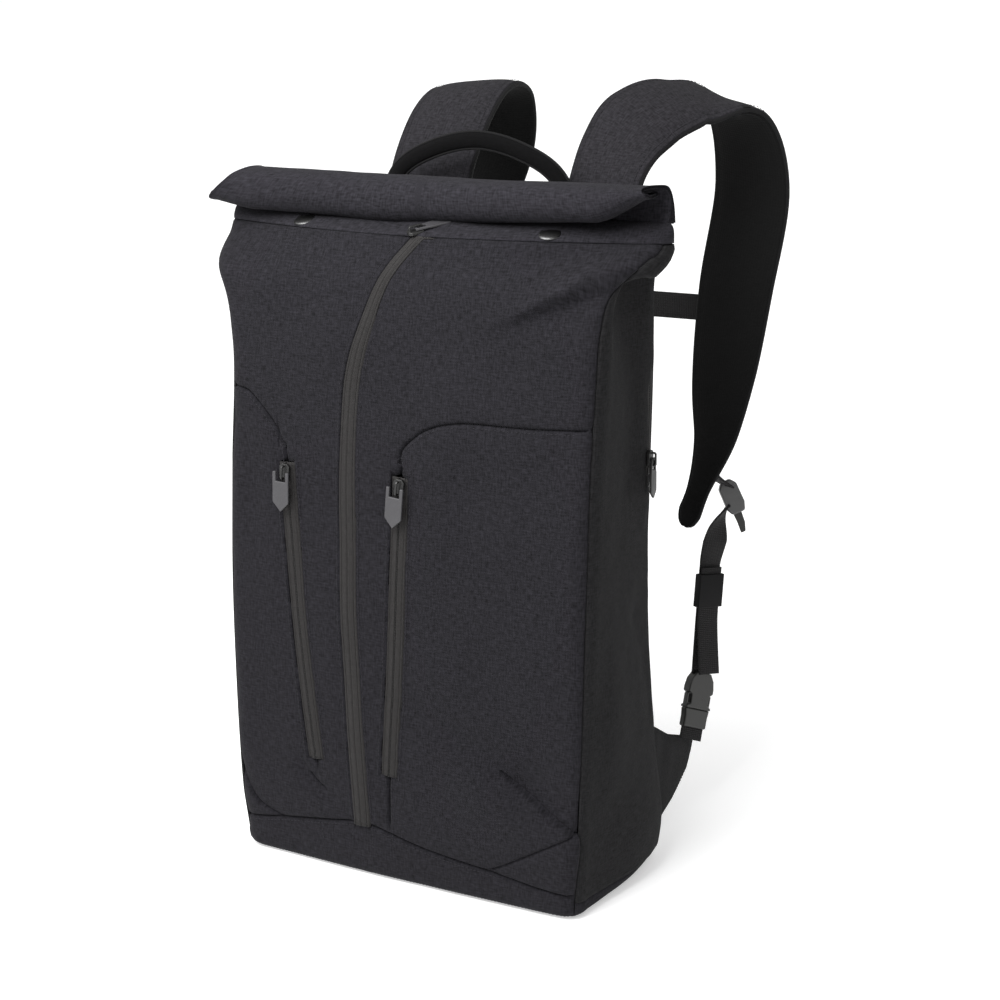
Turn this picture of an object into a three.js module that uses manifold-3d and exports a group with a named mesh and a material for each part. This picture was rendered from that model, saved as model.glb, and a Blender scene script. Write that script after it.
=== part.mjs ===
import * as THREE from "three";
import { mergeVertices } from "three/addons/utils/BufferGeometryUtils.js";
import Module from "manifold-3d";

const wasm = await Module();
wasm.setup();

// A rolltop backpack, in millimetres, standing on its base with its front towards -Y.
// Driving dimensions.
const bodyWidth = 310;
const bodyDepth = 130;
const bodyHeight = 505;
const baseRadius = 8;
const cornerRadius = 18;
const baseSeamHeight = 14;
const clothThickness = 2;
const backPadding = 8;
const seamGap = 0.3;
const zipWidth = 11;
const zipThickness = 1.2;
const rollWidth = 368;
const rollShift = 3;
const rollDepth = 46;
const rollHeight = 27;
const rollClearance = 12;
const webbingWidth = 22;
const webbingThickness = 1.8;
const strapThickness = 12;
const handleRadius = 6.5;
const handleSpan = 164;
const handleRise = 95;
const handleShift = -3;
const pullLength = 30;
const pullWidth = 10.5;
const pullThickness = 1.8;
const pullHoleWidth = 4.2;
const pullHoleLength = 7.2;
const pullBar = 0.8;
const sliderLength = 13;
const sliderWidth = 8.6;
const sliderThickness = 2.4;
const archWidth = 1.6;
const archHeight = 5.2;
const archLength = 11;
const snapRadius = 9;
const snapThickness = 2;
const buckleWidth = 30;
const buckleThickness = 9;
const buckleLength = 44;
const lockLength = 32;
const lockThickness = 4;
const slotLength = 4;
const keeperLength = 28;
const keeperWall = 1.2;
const wingThickness = 3;
const tapeSunk = 0.4;
const sideZipRound = 1.86;
const sideZipHalfWidth = 0.055;

const halfWidth = bodyWidth / 2;
const halfDepth = bodyDepth / 2;
const halfRoll = rollWidth / 2;

// Horizontal sections of the bag. at is a share of bodyHeight; left, right, tuck and back are
// shares of halfWidth; front, bow, rear and rearBow are shares of halfDepth. The bag is a rounded
// box up to the shoulders, and is pinched into the flat mouth above them.
const sections = [
  // at, left, right, front, bow, tuck, back, rear, rearBow
  [0.0, 0.985, 0.955, 0.955, 0.045, -0.02, 0.995, 1.16, 0.0],
  [0.1, 1.015, 0.972, 0.985, 0.07, -0.03, 1.02, 1.2, 0.0],
  [0.25, 1.03, 0.985, 0.98, 0.08, -0.025, 1.02, 1.1, 0.02],
  [0.45, 1.03, 0.995, 0.97, 0.08, -0.01, 1.0, 0.93, 0.03],
  [0.65, 1.0, 1.005, 0.97, 0.06, 0.0, 1.0, 0.91, 0.03],
  [0.8, 0.97, 1.025, 0.96, 0.05, 0.02, 0.99, 1.0, 0.03],
  [0.88, 0.995, 1.04, 0.93, 0.06, 0.05, 0.98, 1.0, 0.02],
  [0.94, 1.06, 1.08, 0.8, 0.12, 0.11, 1.0, 0.94, 0.03],
  [1.0, 1.13, 1.19, 0.2, 0.56, 0.2, 1.13, 0.4, 0.42],
].map(([at, left, right, front, bow, tuck, back, rear, rearBow]) => {
  return { at, left, right, front, bow, tuck, back, rear, rearBow };
});

// Heights at which the walls have a row of corners, as shares of bodyHeight.
const levels = [0.03, 0.07, 0.12, 0.2, 0.3, 0.4, 0.5, 0.59, 0.67, 0.75, 0.81, 0.86, 0.9, 0.935, 0.97, 1];

// Routes on the front: x as a share of halfWidth, z as a share of bodyHeight.
const mainZipRoute = [
  { x: -0.226, z: 0.02 },
  { x: -0.236, z: 0.13 },
  { x: -0.272, z: 0.36 },
  { x: -0.277, z: 0.53 },
  { x: -0.252, z: 0.76 },
  { x: -0.148, z: 0.887 },
  { x: -0.052, z: 0.954 },
  { x: 0.13, z: 1.02 },
];
const leftPocketZipRoute = [
  { x: -0.497, z: 0.182 },
  { x: -0.574, z: 0.406 },
  { x: -0.625, z: 0.655 },
];
const rightPocketZipRoute = [
  { x: -0.065, z: 0.18 },
  { x: -0.02, z: 0.402 },
  { x: 0.02, z: 0.655 },
];
const leftPocketSeam = [
  { x: -0.44, z: 0.02 },
  ...leftPocketZipRoute,
  { x: -0.65, z: 0.685 },
  { x: -0.71, z: 0.717 },
  { x: -0.826, z: 0.754 },
  { x: -0.93, z: 0.762 },
  { x: -1.2, z: 0.766 },
];
const rightPocketSeam = [
  { x: -0.065, z: 0.02 },
  ...rightPocketZipRoute,
  { x: 0.038, z: 0.683 },
  { x: 0.09, z: 0.7 },
  { x: 0.2, z: 0.728 },
  { x: 0.387, z: 0.743 },
  { x: 0.69, z: 0.745 },
  { x: 1.2, z: 0.756 },
];
const baseSeam = [
  { x: -1.2, z: 0.05 },
  { x: -0.96, z: 0.053 },
  { x: -0.74, z: 0.065 },
  { x: -0.43, z: 0.081 },
  { x: -0.22, z: 0.089 },
  { x: -0.08, z: 0.083 },
  { x: 0.15, z: 0.067 },
  { x: 0.43, z: 0.057 },
  { x: 0.75, z: 0.043 },
  { x: 1.2, z: 0.032 },
];

// The path that the flattened mouth takes from the top of the bag into the roll, seen from the
// right: y as a share of rollDepth from the roll's middle, z as a share of rollHeight from the
// roll's underside, gap as the half distance between the mouth's two walls.
const rollMiddle = -16;
const rollBase = bodyHeight + rollClearance;
const mouthGap = 1.2;
const rollLift = 4;
const rollPath = [
  { y: 0.43, z: 0.02, gap: 3.2 },
  { y: 0.44, z: 0.5, gap: 1 },
  { y: 0.36, z: 0.84, gap: 1 },
  { y: 0.12, z: 0.93, gap: 1 },
  { y: -0.2, z: 0.92, gap: 1 },
  { y: -0.41, z: 0.75, gap: 1 },
  { y: -0.44, z: 0.38, gap: 1 },
  { y: -0.3, z: 0.1, gap: 1 },
  { y: -0.02, z: 0.07, gap: 1 },
  { y: 0.19, z: 0.2, gap: 1 },
  { y: 0.22, z: 0.5, gap: 1 },
  { y: 0.05, z: 0.66, gap: 1 },
  { y: -0.16, z: 0.6, gap: 1 },
  { y: -0.22, z: 0.4, gap: 1 },
];

// Centre lines of the shoulder straps: x as a share of halfWidth, y as a share of strapReach
// behind the back, z and width as shares of bodyHeight and strapWidth, turn as the strap's twist
// about its own line in degrees.
const backFace = 66;
const handleMiddle = backFace + seamGap + handleRadius;
const strapReach = 180;
const strapWidth = 71;
const strapEnd = { from: 11.6, to: 12.6 };
const tailShare = 0.99;
const rightStrapRoute = [
  { x: 0.542, y: 0.040, z: 0.802, turn: 0, width: 0.86 },
  { x: 0.561, y: 0.061, z: 0.871, turn: 0, width: 0.9 },
  { x: 0.581, y: 0.111, z: 0.943, turn: -6, width: 0.92 },
  { x: 0.594, y: 0.144, z: 1.006, turn: -10, width: 0.92 },
  { x: 0.600, y: 0.183, z: 1.061, turn: -12, width: 0.93 },
  { x: 0.639, y: 0.283, z: 1.115, turn: 0, width: 0.95 },
  { x: 0.716, y: 0.394, z: 1.154, turn: 15, width: 0.97 },
  { x: 0.845, y: 0.567, z: 1.172, turn: 22, width: 0.99 },
  { x: 1.045, y: 0.733, z: 1.152, turn: 24, width: 1 },
  { x: 1.077, y: 0.889, z: 1.036, turn: 19, width: 1 },
  { x: 1.013, y: 0.878, z: 0.875, turn: 15, width: 0.97 },
  { x: 1.013, y: 0.756, z: 0.739, turn: 18, width: 0.86 },
  { x: 1.032, y: 0.622, z: 0.644, turn: 22, width: 0.66 },
  { x: 1.019, y: 0.522, z: 0.558, turn: 22, width: 0.36 },
  { x: 1.013, y: 0.489, z: 0.519, turn: 22, width: 0.2 },
];
const leftStrapRoute = [
  { x: -0.413, y: 0.040, z: 0.802, turn: 0, width: 0.86 },
  { x: -0.406, y: 0.061, z: 0.871, turn: 0, width: 0.9 },
  { x: -0.394, y: 0.111, z: 0.943, turn: 0, width: 0.95 },
  { x: -0.387, y: 0.144, z: 1.006, turn: 0, width: 0.98 },
  { x: -0.374, y: 0.217, z: 1.081, turn: 0, width: 1 },
  { x: -0.348, y: 0.356, z: 1.152, turn: 0, width: 1 },
  { x: -0.335, y: 0.533, z: 1.186, turn: -4, width: 1 },
  { x: -0.361, y: 0.756, z: 1.168, turn: -8, width: 1 },
  { x: -0.452, y: 0.911, z: 1.085, turn: -12, width: 1 },
  { x: -0.645, y: 0.956, z: 0.970, turn: -15, width: 1 },
  { x: -0.865, y: 0.900, z: 0.851, turn: -15, width: 0.97 },
  { x: -0.981, y: 0.767, z: 0.739, turn: -18, width: 0.86 },
  { x: -1.019, y: 0.622, z: 0.644, turn: -22, width: 0.66 },
  { x: -1.019, y: 0.522, z: 0.558, turn: -22, width: 0.36 },
  { x: -1.013, y: 0.489, z: 0.519, turn: -22, width: 0.2 },
];

// One half of the haul handle from its top to its foot: side as a share of handleSpan, rise as a
// share of handleRise.
const handleRoute = [
  { side: 0, rise: 1 },
  { side: 0.23, rise: 0.92 },
  { side: 0.415, rise: 0.73 },
  { side: 0.497, rise: 0.37 },
  { side: 0.5, rise: 0 },
];

const group = new THREE.Group();

// Finishes, each with its colour, roughness and metalness.
const finishes = {
  frontCloth: { color: 0x35343a, roughness: 0.9, metalness: 0 },
  sideCloth: { color: 0x2a2a2b, roughness: 0.92, metalness: 0 },
  zipTape: { color: 0x403d3b, roughness: 0.6, metalness: 0 },
  webbing: { color: 0x1d1c1e, roughness: 0.85, metalness: 0 },
  strapCloth: { color: 0x2b2a2e, roughness: 0.95, metalness: 0 },
  plastic: { color: 0x39393a, roughness: 0.5, metalness: 0 },
  pullPlastic: { color: 0x4c4a4f, roughness: 0.55, metalness: 0 },
  metal: { color: 0xb8b8ba, roughness: 0.3, metalness: 1 },
};

function add(name, finish, geometry) {
  const mesh = new THREE.Mesh(geometry, new THREE.MeshStandardMaterial(finishes[finish]));
  mesh.name = name;
  group.add(mesh);
  return mesh;
}

// Smooth value of a table's column at a place between its rows.
function smooth(values, place) {
  const last = values.length - 1;
  const row = Math.min(Math.max(Math.floor(place), 0), last - 1);
  const t = place - row;
  const before = values[Math.max(row - 1, 0)];
  const from = values[row];
  const to = values[row + 1];
  const after = values[Math.min(row + 2, last)];
  const curve = (-before + 3 * from - 3 * to + after) * t ** 3;
  const bend = (2 * before - 5 * from + 4 * to - after) * t ** 2;
  return 0.5 * (2 * from + (to - before) * t + bend + curve);
}

function sectionAt(height) {
  const share = Math.min(Math.max(height / bodyHeight, 0), 1);
  let row = 0;
  while (row < sections.length - 2 && sections[row + 1].at < share) row += 1;
  const place = row + (share - sections[row].at) / (sections[row + 1].at - sections[row].at);
  const section = {};
  for (const column of Object.keys(sections[0])) {
    section[column] = smooth(sections.map((entry) => entry[column]), place);
  }
  return section;
}

function bezier(a, control, b, t) {
  const s = 1 - t;
  return [0, 1].map((i) => s * s * a[i] + 2 * s * t * control[i] + t * t * b[i]);
}

// The bag's outer surface. round runs from 0 at the middle of the front, through 1 at the
// front's right seam and 2 at the back's right seam, to 3 at the middle of the back, and
// negative on the left; height is in millimetres.
function outer(round, height) {
  const section = sectionAt(Math.max(height, baseRadius));
  const side = Math.abs(round);
  const wide = halfWidth * (round < 0 ? section.left : section.right);
  const back = halfWidth * section.back;
  const frontY = -halfDepth * section.front;
  const rearY = halfDepth * section.rear;
  const radius = Math.min(cornerRadius, (rearY - frontY) * 0.3);
  const frontEnd = [wide - radius, frontY - halfDepth * section.bow * 0.12];
  const sideFront = [wide, frontY + radius];
  const sideBack = [back, rearY - radius];
  const backEnd = [back - radius, rearY];
  let place;
  if (side < 0.9) {
    const x = (side / 0.9) * frontEnd[0];
    const bow = halfDepth * section.bow * (1 - 0.88 * (x / frontEnd[0]) ** 2);
    place = [x, frontY - bow];
  } else if (side < 1.1) {
    place = bezier(frontEnd, [wide, frontY], sideFront, (side - 0.9) / 0.2);
  } else if (side < 1.9) {
    const middle = (wide + back) / 2 - halfWidth * section.tuck * 2;
    place = bezier(sideFront, [middle, (frontY + rearY) / 2], sideBack, (side - 1.1) / 0.8);
  } else if (side < 2.1) {
    place = bezier(sideBack, [back, rearY], backEnd, (side - 1.9) / 0.2);
  } else {
    const share = (3 - side) / 0.9;
    place = [share * backEnd[0], rearY + halfDepth * section.rearBow * (1 - share ** 2)];
  }
  let inset = 0;
  let z = height;
  if (height < baseRadius) {
    const turn = Math.acos(1 - Math.max(height, 0) / baseRadius);
    inset = baseRadius * (1 - Math.sin(turn));
    z = baseRadius * (1 - Math.cos(turn));
  }
  const x = place[0] * (1 - inset / halfWidth);
  const y = place[1] * (1 - inset / halfDepth);
  return new THREE.Vector3(round < 0 ? -x : x, y, z);
}

function normalAt(surface, u, v) {
  const step = 0.01;
  const along = surface(u + step, v).sub(surface(u - step, v));
  const up = surface(u, v + step * 50).sub(surface(u, v - step * 50));
  return along.cross(up).normalize();
}

// A closed geometry from points and triangles, turned to face outwards.
function closed(points, triangles) {
  const positions = triangles.flat().flatMap((index) => points[index].toArray());
  let volume = 0;
  for (const [a, b, c] of triangles) {
    volume += points[a].dot(points[b].clone().cross(points[c]));
  }
  if (volume < 0) {
    for (let i = 0; i < positions.length; i += 9) {
      const second = positions.slice(i + 3, i + 6);
      positions.splice(i + 3, 3, ...positions.slice(i + 6, i + 9));
      positions.splice(i + 6, 3, ...second);
    }
  }
  const geometry = new THREE.BufferGeometry();
  geometry.setAttribute("position", new THREE.Float32BufferAttribute(positions, 3));
  return geometry;
}

// A loft through rings of points. Rings are closed round unless open is set, which makes a
// sheet's two faces from a list of outer and inner rows.
function loft(rings, capped = true) {
  const size = rings[0].length;
  const points = rings.flat();
  const triangles = [];
  const rows = capped ? rings.length - 1 : rings.length;
  for (let row = 0; row < rows; row += 1) {
    const next = (row + 1) % rings.length;
    for (let i = 0; i < size; i += 1) {
      const j = (i + 1) % size;
      const corners = [row * size + i, row * size + j, next * size + j, next * size + i];
      triangles.push([corners[0], corners[1], corners[2]], [corners[0], corners[2], corners[3]]);
    }
  }
  if (capped) {
    for (const [first, flip] of [[0, true], [(rings.length - 1) * size, false]]) {
      const centre = new THREE.Vector3();
      for (let i = 0; i < size; i += 1) centre.addScaledVector(points[first + i], 1 / size);
      const middle = points.push(centre) - 1;
      for (let i = 0; i < size; i += 1) {
        const a = first + i;
        const b = first + ((i + 1) % size);
        triangles.push(flip ? [middle, b, a] : [middle, a, b]);
      }
    }
  }
  return closed(points, triangles);
}

// A sheet of cloth over part of a surface: each row's outer points and, a wall's thickness
// under them, its inner points are one ring of a loft.
function sheet(surface, columns, rows, thickness, sunk = 0) {
  const rings = rows.map((row) => {
    const deep = typeof thickness === "function" ? thickness(row) : thickness;
    const faces = columns.map((column) => {
      const normal = normalAt(surface, column, row);
      const top = surface(column, row).addScaledVector(normal, -sunk);
      return [top, top.clone().addScaledVector(normal, -deep)];
    });
    return [...faces.map((face) => face[0]), ...faces.map((face) => face[1]).reverse()];
  });
  return loft(rings);
}

function toSolid(geometry) {
  const bare = new THREE.BufferGeometry();
  const flat = geometry.index ? geometry.toNonIndexed() : geometry;
  bare.setAttribute("position", flat.getAttribute("position").clone());
  const merged = mergeVertices(bare, 1e-4);
  return new wasm.Manifold(
    new wasm.Mesh({
      numProp: 3,
      vertProperties: merged.attributes.position.array,
      triVerts: new Uint32Array(merged.index.array),
    }),
  );
}

// The geometry of a solid's largest body, without the slivers that a cut can leave.
function toGeometry(solid) {
  const bodies = solid.decompose().sort((one, other) => other.volume() - one.volume());
  const mesh = bodies[0].getMesh();
  const geometry = new THREE.BufferGeometry();
  geometry.setAttribute("position", new THREE.Float32BufferAttribute(mesh.vertProperties, 3));
  geometry.setIndex(new THREE.Uint32BufferAttribute(mesh.triVerts, 1));
  return geometry;
}

// Places of a route on the front in millimetres, smoothed to a number of points.
function frontPlaces(route, count) {
  return Array.from({ length: count }, (unused, i) => {
    const place = (i / (count - 1)) * (route.length - 1);
    const x = smooth(route.map((row) => row.x), place) * halfWidth;
    return new THREE.Vector2(x, smooth(route.map((row) => row.z), place) * bodyHeight);
  });
}

function offsetPlaces(places, distance) {
  return places.map((place, i) => {
    const before = places[Math.max(i - 1, 0)];
    const after = places[Math.min(i + 1, places.length - 1)];
    const along = after.clone().sub(before).normalize();
    return new THREE.Vector2(place.x - along.y * distance, place.y + along.x * distance);
  });
}

// A prism over an outline in x and z that passes through the bag's front wall.
function frontPrism(places) {
  const reach = bodyDepth;
  const shape = new THREE.Shape(places);
  const geometry = new THREE.ExtrudeGeometry(shape, { depth: reach, bevelEnabled: false, steps: 1 });
  geometry.rotateX(Math.PI / 2);
  return toSolid(geometry);
}

// A band of one width along a route, which passes through the bag's front wall.
function ribbon(places, width) {
  const sides = [offsetPlaces(places, width / 2), offsetPlaces(places, -width / 2)];
  const rings = places.map((unused, i) => {
    const [one, other] = sides.map((side) => side[i]);
    return [
      new THREE.Vector3(one.x, -bodyDepth, one.y),
      new THREE.Vector3(other.x, -bodyDepth, other.y),
      new THREE.Vector3(other.x, 0, other.y),
      new THREE.Vector3(one.x, 0, one.y),
    ];
  });
  return toSolid(loft(rings));
}

// The walls of the bag.
const seamShare = seamGap / 2 / halfWidth;
const frontColumns = [-1 + seamShare, -0.9, -0.6, -0.3, 0, 0.3, 0.6, 0.9, 1 - seamShare];
const sideColumns = [1 + seamShare, 1.1, 1.3, 1.5, 1.7, 1.9, 2 - seamShare];
const backColumns = [2 + seamShare, 2.1, 2.4, 2.7, 3, 3.3, 3.6, 3.9, 4 - seamShare];
const heights = levels.map((level) => level * bodyHeight);
const wallTop = heights[heights.length - 1];
const wallHeights = [baseSeamHeight + seamGap, ...heights.slice(1)];
const reachX = bodyWidth;

function around(round, height) {
  return outer(round > 3 ? round - 6 : round, height);
}

// The side panels draw back a little from their seams where the corners fold sharply.
function gusset(round, height) {
  const drawn = 0.024 * THREE.MathUtils.smoothstep(height / bodyHeight, 0.86, 0.96);
  const middle = Math.sign(round) * 1.5;
  return outer(middle + (round - middle) * (1 - drawn), height);
}

function addWalls() {
  const mirrored = sideColumns.map((column) => -column).reverse();
  add("side_panel_right", "sideCloth", sheet(gusset, sideColumns, wallHeights, clothThickness));
  add("side_panel_left", "sideCloth", sheet(gusset, mirrored, wallHeights, clothThickness));
  const padded = (height) => {
    const share = THREE.MathUtils.smoothstep(height / bodyHeight, 0.8, 0.95);
    return THREE.MathUtils.lerp(backPadding, clothThickness, share);
  };
  add("back_panel", "sideCloth", sheet(around, backColumns, wallHeights, padded));
}

function lengthened(places, distance) {
  const ends = places.map((place) => place.clone());
  const last = ends.length - 1;
  ends[0].add(places[0].clone().sub(places[1]).setLength(distance));
  ends[last].add(places[last].clone().sub(places[last - 1]).setLength(distance));
  return ends;
}

const mainZip = frontPlaces(mainZipRoute, 15);
const leftZip = frontPlaces(leftPocketZipRoute, 7);
const rightZip = frontPlaces(rightPocketZipRoute, 7);
const leftSeam = frontPlaces(leftPocketSeam, 25);
const rightSeam = frontPlaces(rightPocketSeam, 25);
const bottomSeam = frontPlaces(baseSeam, 19);

function belowSeam(lift) {
  const low = -bodyDepth;
  return frontPrism([
    new THREE.Vector2(-reachX, low),
    new THREE.Vector2(reachX, low),
    ...bottomSeam.map((place) => new THREE.Vector2(place.x, place.y + lift)).reverse(),
  ]);
}

function addFront() {
  const frontHeights = [baseRadius, ...heights];
  const cloth = toSolid(sheet(outer, frontColumns, frontHeights, clothThickness));
  const tape = toSolid(sheet(outer, frontColumns, frontHeights, zipThickness, tapeSunk));
  const slot = zipWidth + 2 * seamGap;
  const cloths = cloth
    .subtract(ribbon(mainZip, slot))
    .subtract(ribbon(lengthened(leftZip, seamGap), slot))
    .subtract(ribbon(lengthened(rightZip, seamGap), slot))
    .subtract(ribbon(leftSeam, seamGap))
    .subtract(ribbon(rightSeam, seamGap))
    .subtract(belowSeam(seamGap / 2));
  const above = bodyHeight * 1.1;
  const corner = (x, z) => new THREE.Vector2(x, z);
  const panels = {
    front_panel_left: [...mainZip, corner(-reachX, above), ...leftSeam.slice().reverse()],
    front_panel_right: [...mainZip.slice().reverse(), ...rightSeam, corner(reachX, above)],
    pocket_panel_left: [...leftSeam, corner(-reachX, 0)],
    pocket_panel_right: [...rightSeam, corner(reachX, 0)],
  };
  for (const [name, outline] of Object.entries(panels)) {
    add(name, "frontCloth", toGeometry(cloths.intersect(frontPrism(outline))));
  }
  const zips = { main_zip: mainZip, pocket_zip_left: leftZip, pocket_zip_right: rightZip };
  for (const [name, places] of Object.entries(zips)) {
    const strip = tape.intersect(ribbon(places, zipWidth)).subtract(belowSeam(seamGap / 2));
    add(name, "zipTape", toGeometry(strip));
  }
}

// The base is a shallow tray whose front rises to the base seam.
function addBase() {
  const half = [0.3, 0.6, 0.9, 1, 1.1, 1.3, 1.5, 1.7, 1.9, 2, 2.1, 2.4, 2.7];
  const shares = [-3, ...half.map((share) => -share).reverse(), 0, ...half];
  const ring = (height, inset) => {
    const places = [];
    for (const share of shares) {
      const place = outer(share, height);
      const out = normalAt(outer, share, Math.max(height, baseRadius)).setZ(0).normalize();
      places.push(place.addScaledVector(out, -inset));
    }
    return places;
  };
  const trayHeights = [0, baseRadius * 0.1, baseRadius * 0.3, baseRadius * 0.6, baseRadius];
  const outside = loft([...trayHeights, baseSeamHeight].map((height) => ring(height, 0)));
  const hollow = loft([clothThickness, baseRadius * 0.6, baseRadius, baseSeamHeight + 1].map((height) => {
    return ring(height, clothThickness).map((place) => place.setZ(height));
  }));
  const tray = toSolid(outside).subtract(toSolid(hollow));
  const skirtHeights = [baseSeamHeight - 1, ...heights.slice(1, 4)];
  const skirt = toSolid(sheet(outer, frontColumns, skirtHeights, clothThickness));
  const base = tray.add(skirt.intersect(belowSeam(-seamGap / 2)));
  add("base_panel", "sideCloth", toGeometry(base));
}

// The mouth above the top seam, flattened, rolled forwards and down.
const rollWall = clothThickness * 0.6;
const endFold = 5;
const rollCentre = rollPath.map((row) => {
  return new THREE.Vector2(rollMiddle + row.y * rollDepth, rollBase + row.z * rollHeight);
});

function rollAt(row, share, lining) {
  const side = Math.abs(share);
  const before = rollCentre[Math.max(row - 1, 0)];
  const after = rollCentre[Math.min(row + 1, rollCentre.length - 1)];
  const along = after.clone().sub(before).normalize();
  const half = mouthGap * rollPath[row].gap + (lining ? 0 : rollWall);
  const end = halfRoll - (lining ? rollWall : 0);
  const across = side <= 1 ? 1 : Math.max(3 - 2 * side, -1);
  const fold = Math.max(1 - Math.abs(side - 1.5) * 2, 0) * endFold;
  const reach = side <= 1 ? side * end : side < 2 ? end - fold : (3 - side) * end;
  const x = Math.sign(share) * reach;
  const lift = rollLift * (x / halfRoll) ** 2;
  const y = rollCentre[row].x - along.y * half * across;
  return new THREE.Vector3(x + rollShift, y, rollCentre[row].y + along.x * half * across + lift);
}

function rimAt(share, lining) {
  const place = outer(share, wallTop).setZ(wallTop + seamGap);
  const out = normalAt(outer, share, wallTop - 1).setZ(0).normalize();
  return lining ? place.addScaledVector(out, -rollWall) : place;
}

// The slope between the front's top seam and the roll; run goes from 0 to rollDepth.
function collarSlope(share, run) {
  return rimAt(share, false).lerp(rollAt(0, share, false), run / rollDepth);
}

function addRoll() {
  const shares = [];
  for (let share = -3; share < 3; share += 0.25) shares.push(share);
  const column = (share, lining) => {
    const start = rimAt(share, lining);
    const rows = rollPath.map((unused, row) => rollAt(row, share, lining));
    return [start, start.clone().lerp(rows[0], 0.5), ...rows];
  };
  const rings = shares.map((share) => [...column(share, false), ...column(share, true).reverse()]);
  add("collar_roll", "frontCloth", loft(rings, false));
}

// A flat band through sections with their own places, directions across and sizes.
function band(sections, bevel) {
  return loft(
    sections.map((section) => {
      const { place, across, out, width, thick } = section;
      const corners = [
        [width / 2, 0],
        [width / 2 - bevel, thick / 2],
        [bevel - width / 2, thick / 2],
        [-width / 2, 0],
        [bevel - width / 2, -thick / 2],
        [width / 2 - bevel, -thick / 2],
      ];
      return corners.map(([side, rise]) => {
        return place.clone().addScaledVector(across, side).addScaledVector(out, rise);
      });
    }),
  );
}

// Sections along a route whose rows give place, twist and width.
function strapSections(route, steps, from = 0, to = route.length - 1) {
  const at = (place) => {
    const [x, y, z] = ["x", "y", "z"].map((key) => smooth(route.map((row) => row[key]), place));
    return new THREE.Vector3(x * halfWidth, backFace + y * strapReach, z * bodyHeight);
  };
  return Array.from({ length: steps + 1 }, (unused, i) => {
    const place = from + ((to - from) * i) / steps;
    const along = at(Math.min(place + 0.05, route.length - 1)).sub(at(Math.max(place - 0.05, 0))).normalize();
    const level = new THREE.Vector3(1, 0, 0).addScaledVector(along, -along.x).normalize();
    const turn = THREE.MathUtils.degToRad(smooth(route.map((row) => row.turn), place));
    const across = level.applyAxisAngle(along, turn);
    const out = along.clone().cross(across);
    return { place: at(place), along, across, out, share: smooth(route.map((row) => row.width), place) };
  });
}

function addStraps() {
  for (const [side, route] of [["right", rightStrapRoute], ["left", leftStrapRoute]]) {
    const sections = strapSections(route, 30).map((section) => {
      const thick = strapThickness * Math.min(1, 0.5 + section.share * 0.6);
      return { ...section, width: strapWidth * section.share, thick };
    });
    add(`shoulder_strap_${side}`, "strapCloth", band(sections, strapThickness / 3));
  }
}

// The hanging handle between the straps.
function addHandle() {
  const foot = bodyHeight * 0.93;
  const seat = outer(2.5, foot).y + seamGap + handleRadius * 0.92;
  const right = handleRoute.map((row) => {
    const y = row.rise === 0 ? seat : handleMiddle;
    return new THREE.Vector3(row.side * handleSpan, y, foot + row.rise * handleRise);
  });
  const left = right.slice(1).map((place) => new THREE.Vector3(-place.x, place.y, place.z)).reverse();
  const places = [...left, ...right].map((place) => place.setX(place.x + handleShift));
  const shape = new THREE.Shape();
  shape.absarc(0, 0, handleRadius, 0, Math.PI * 2);
  const extrudePath = new THREE.CatmullRomCurve3(places);
  const options = { steps: 24, extrudePath, curveSegments: 5, bevelEnabled: false };
  add("haul_handle", "strapCloth", new THREE.ExtrudeGeometry(shape, options));
}

// A solid made by code in its own axes: x across, y down along the webbing, z out of it.
function stand(mesh, place, along, across) {
  const out = across.clone().cross(along).normalize();
  const side = along.clone().cross(out).normalize();
  mesh.quaternion.setFromRotationMatrix(new THREE.Matrix4().makeBasis(side, along, out));
  mesh.position.copy(place);
  return mesh;
}

function block(width, length, depth, x = 0, y = 0, z = 0) {
  return toSolid(new THREE.BoxGeometry(width, length, depth).translate(x, y, z));
}

function plate(outline, holes, depth) {
  const shape = new THREE.Shape(outline.map(([x, y]) => new THREE.Vector2(x, y)));
  for (const hole of holes) shape.holes.push(new THREE.Path(hole.map(([x, y]) => new THREE.Vector2(x, y))));
  const geometry = new THREE.ExtrudeGeometry(shape, { depth, bevelEnabled: false, steps: 1 });
  return geometry.translate(0, 0, -depth / 2);
}

function boxOutline(width, length, x = 0, y = 0, cut = 0) {
  const [w, l] = [width / 2, length / 2];
  if (cut === 0) return [[x - w, y - l], [x + w, y - l], [x + w, y + l], [x - w, y + l]];
  return [
    [x - w + cut, y - l],
    [x + w - cut, y - l],
    [x + w, y - l + cut],
    [x + w, y + l - cut],
    [x + w - cut, y + l],
    [x - w + cut, y + l],
    [x - w, y + l - cut],
    [x - w, y - l + cut],
  ];
}

function ladderLock() {
  const slotWidth = webbingWidth + 2;
  const holes = [-1, 1].map((side) => boxOutline(slotWidth, slotLength, 0, side * lockLength * 0.24));
  const outline = boxOutline(buckleWidth, lockLength, 0, 0, 4);
  const frame = toSolid(plate(outline, holes, lockThickness));
  const lip = block(buckleWidth * 0.5, lockLength * 0.2, lockThickness, 0, lockLength * 0.55, -1);
  return toGeometry(frame.add(lip));
}

function buckleSocket() {
  const length = buckleLength * 0.58;
  const shell = toSolid(plate(boxOutline(buckleWidth, length, 0, 0, 4), [], buckleThickness));
  const inside = block(buckleWidth * 0.72, length, buckleThickness * 0.5, 0, length * 0.25);
  const windows = block(buckleWidth * 1.2, length * 0.4, buckleThickness * 0.5, 0, length * 0.1);
  return toGeometry(shell.subtract(inside).subtract(windows));
}

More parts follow.
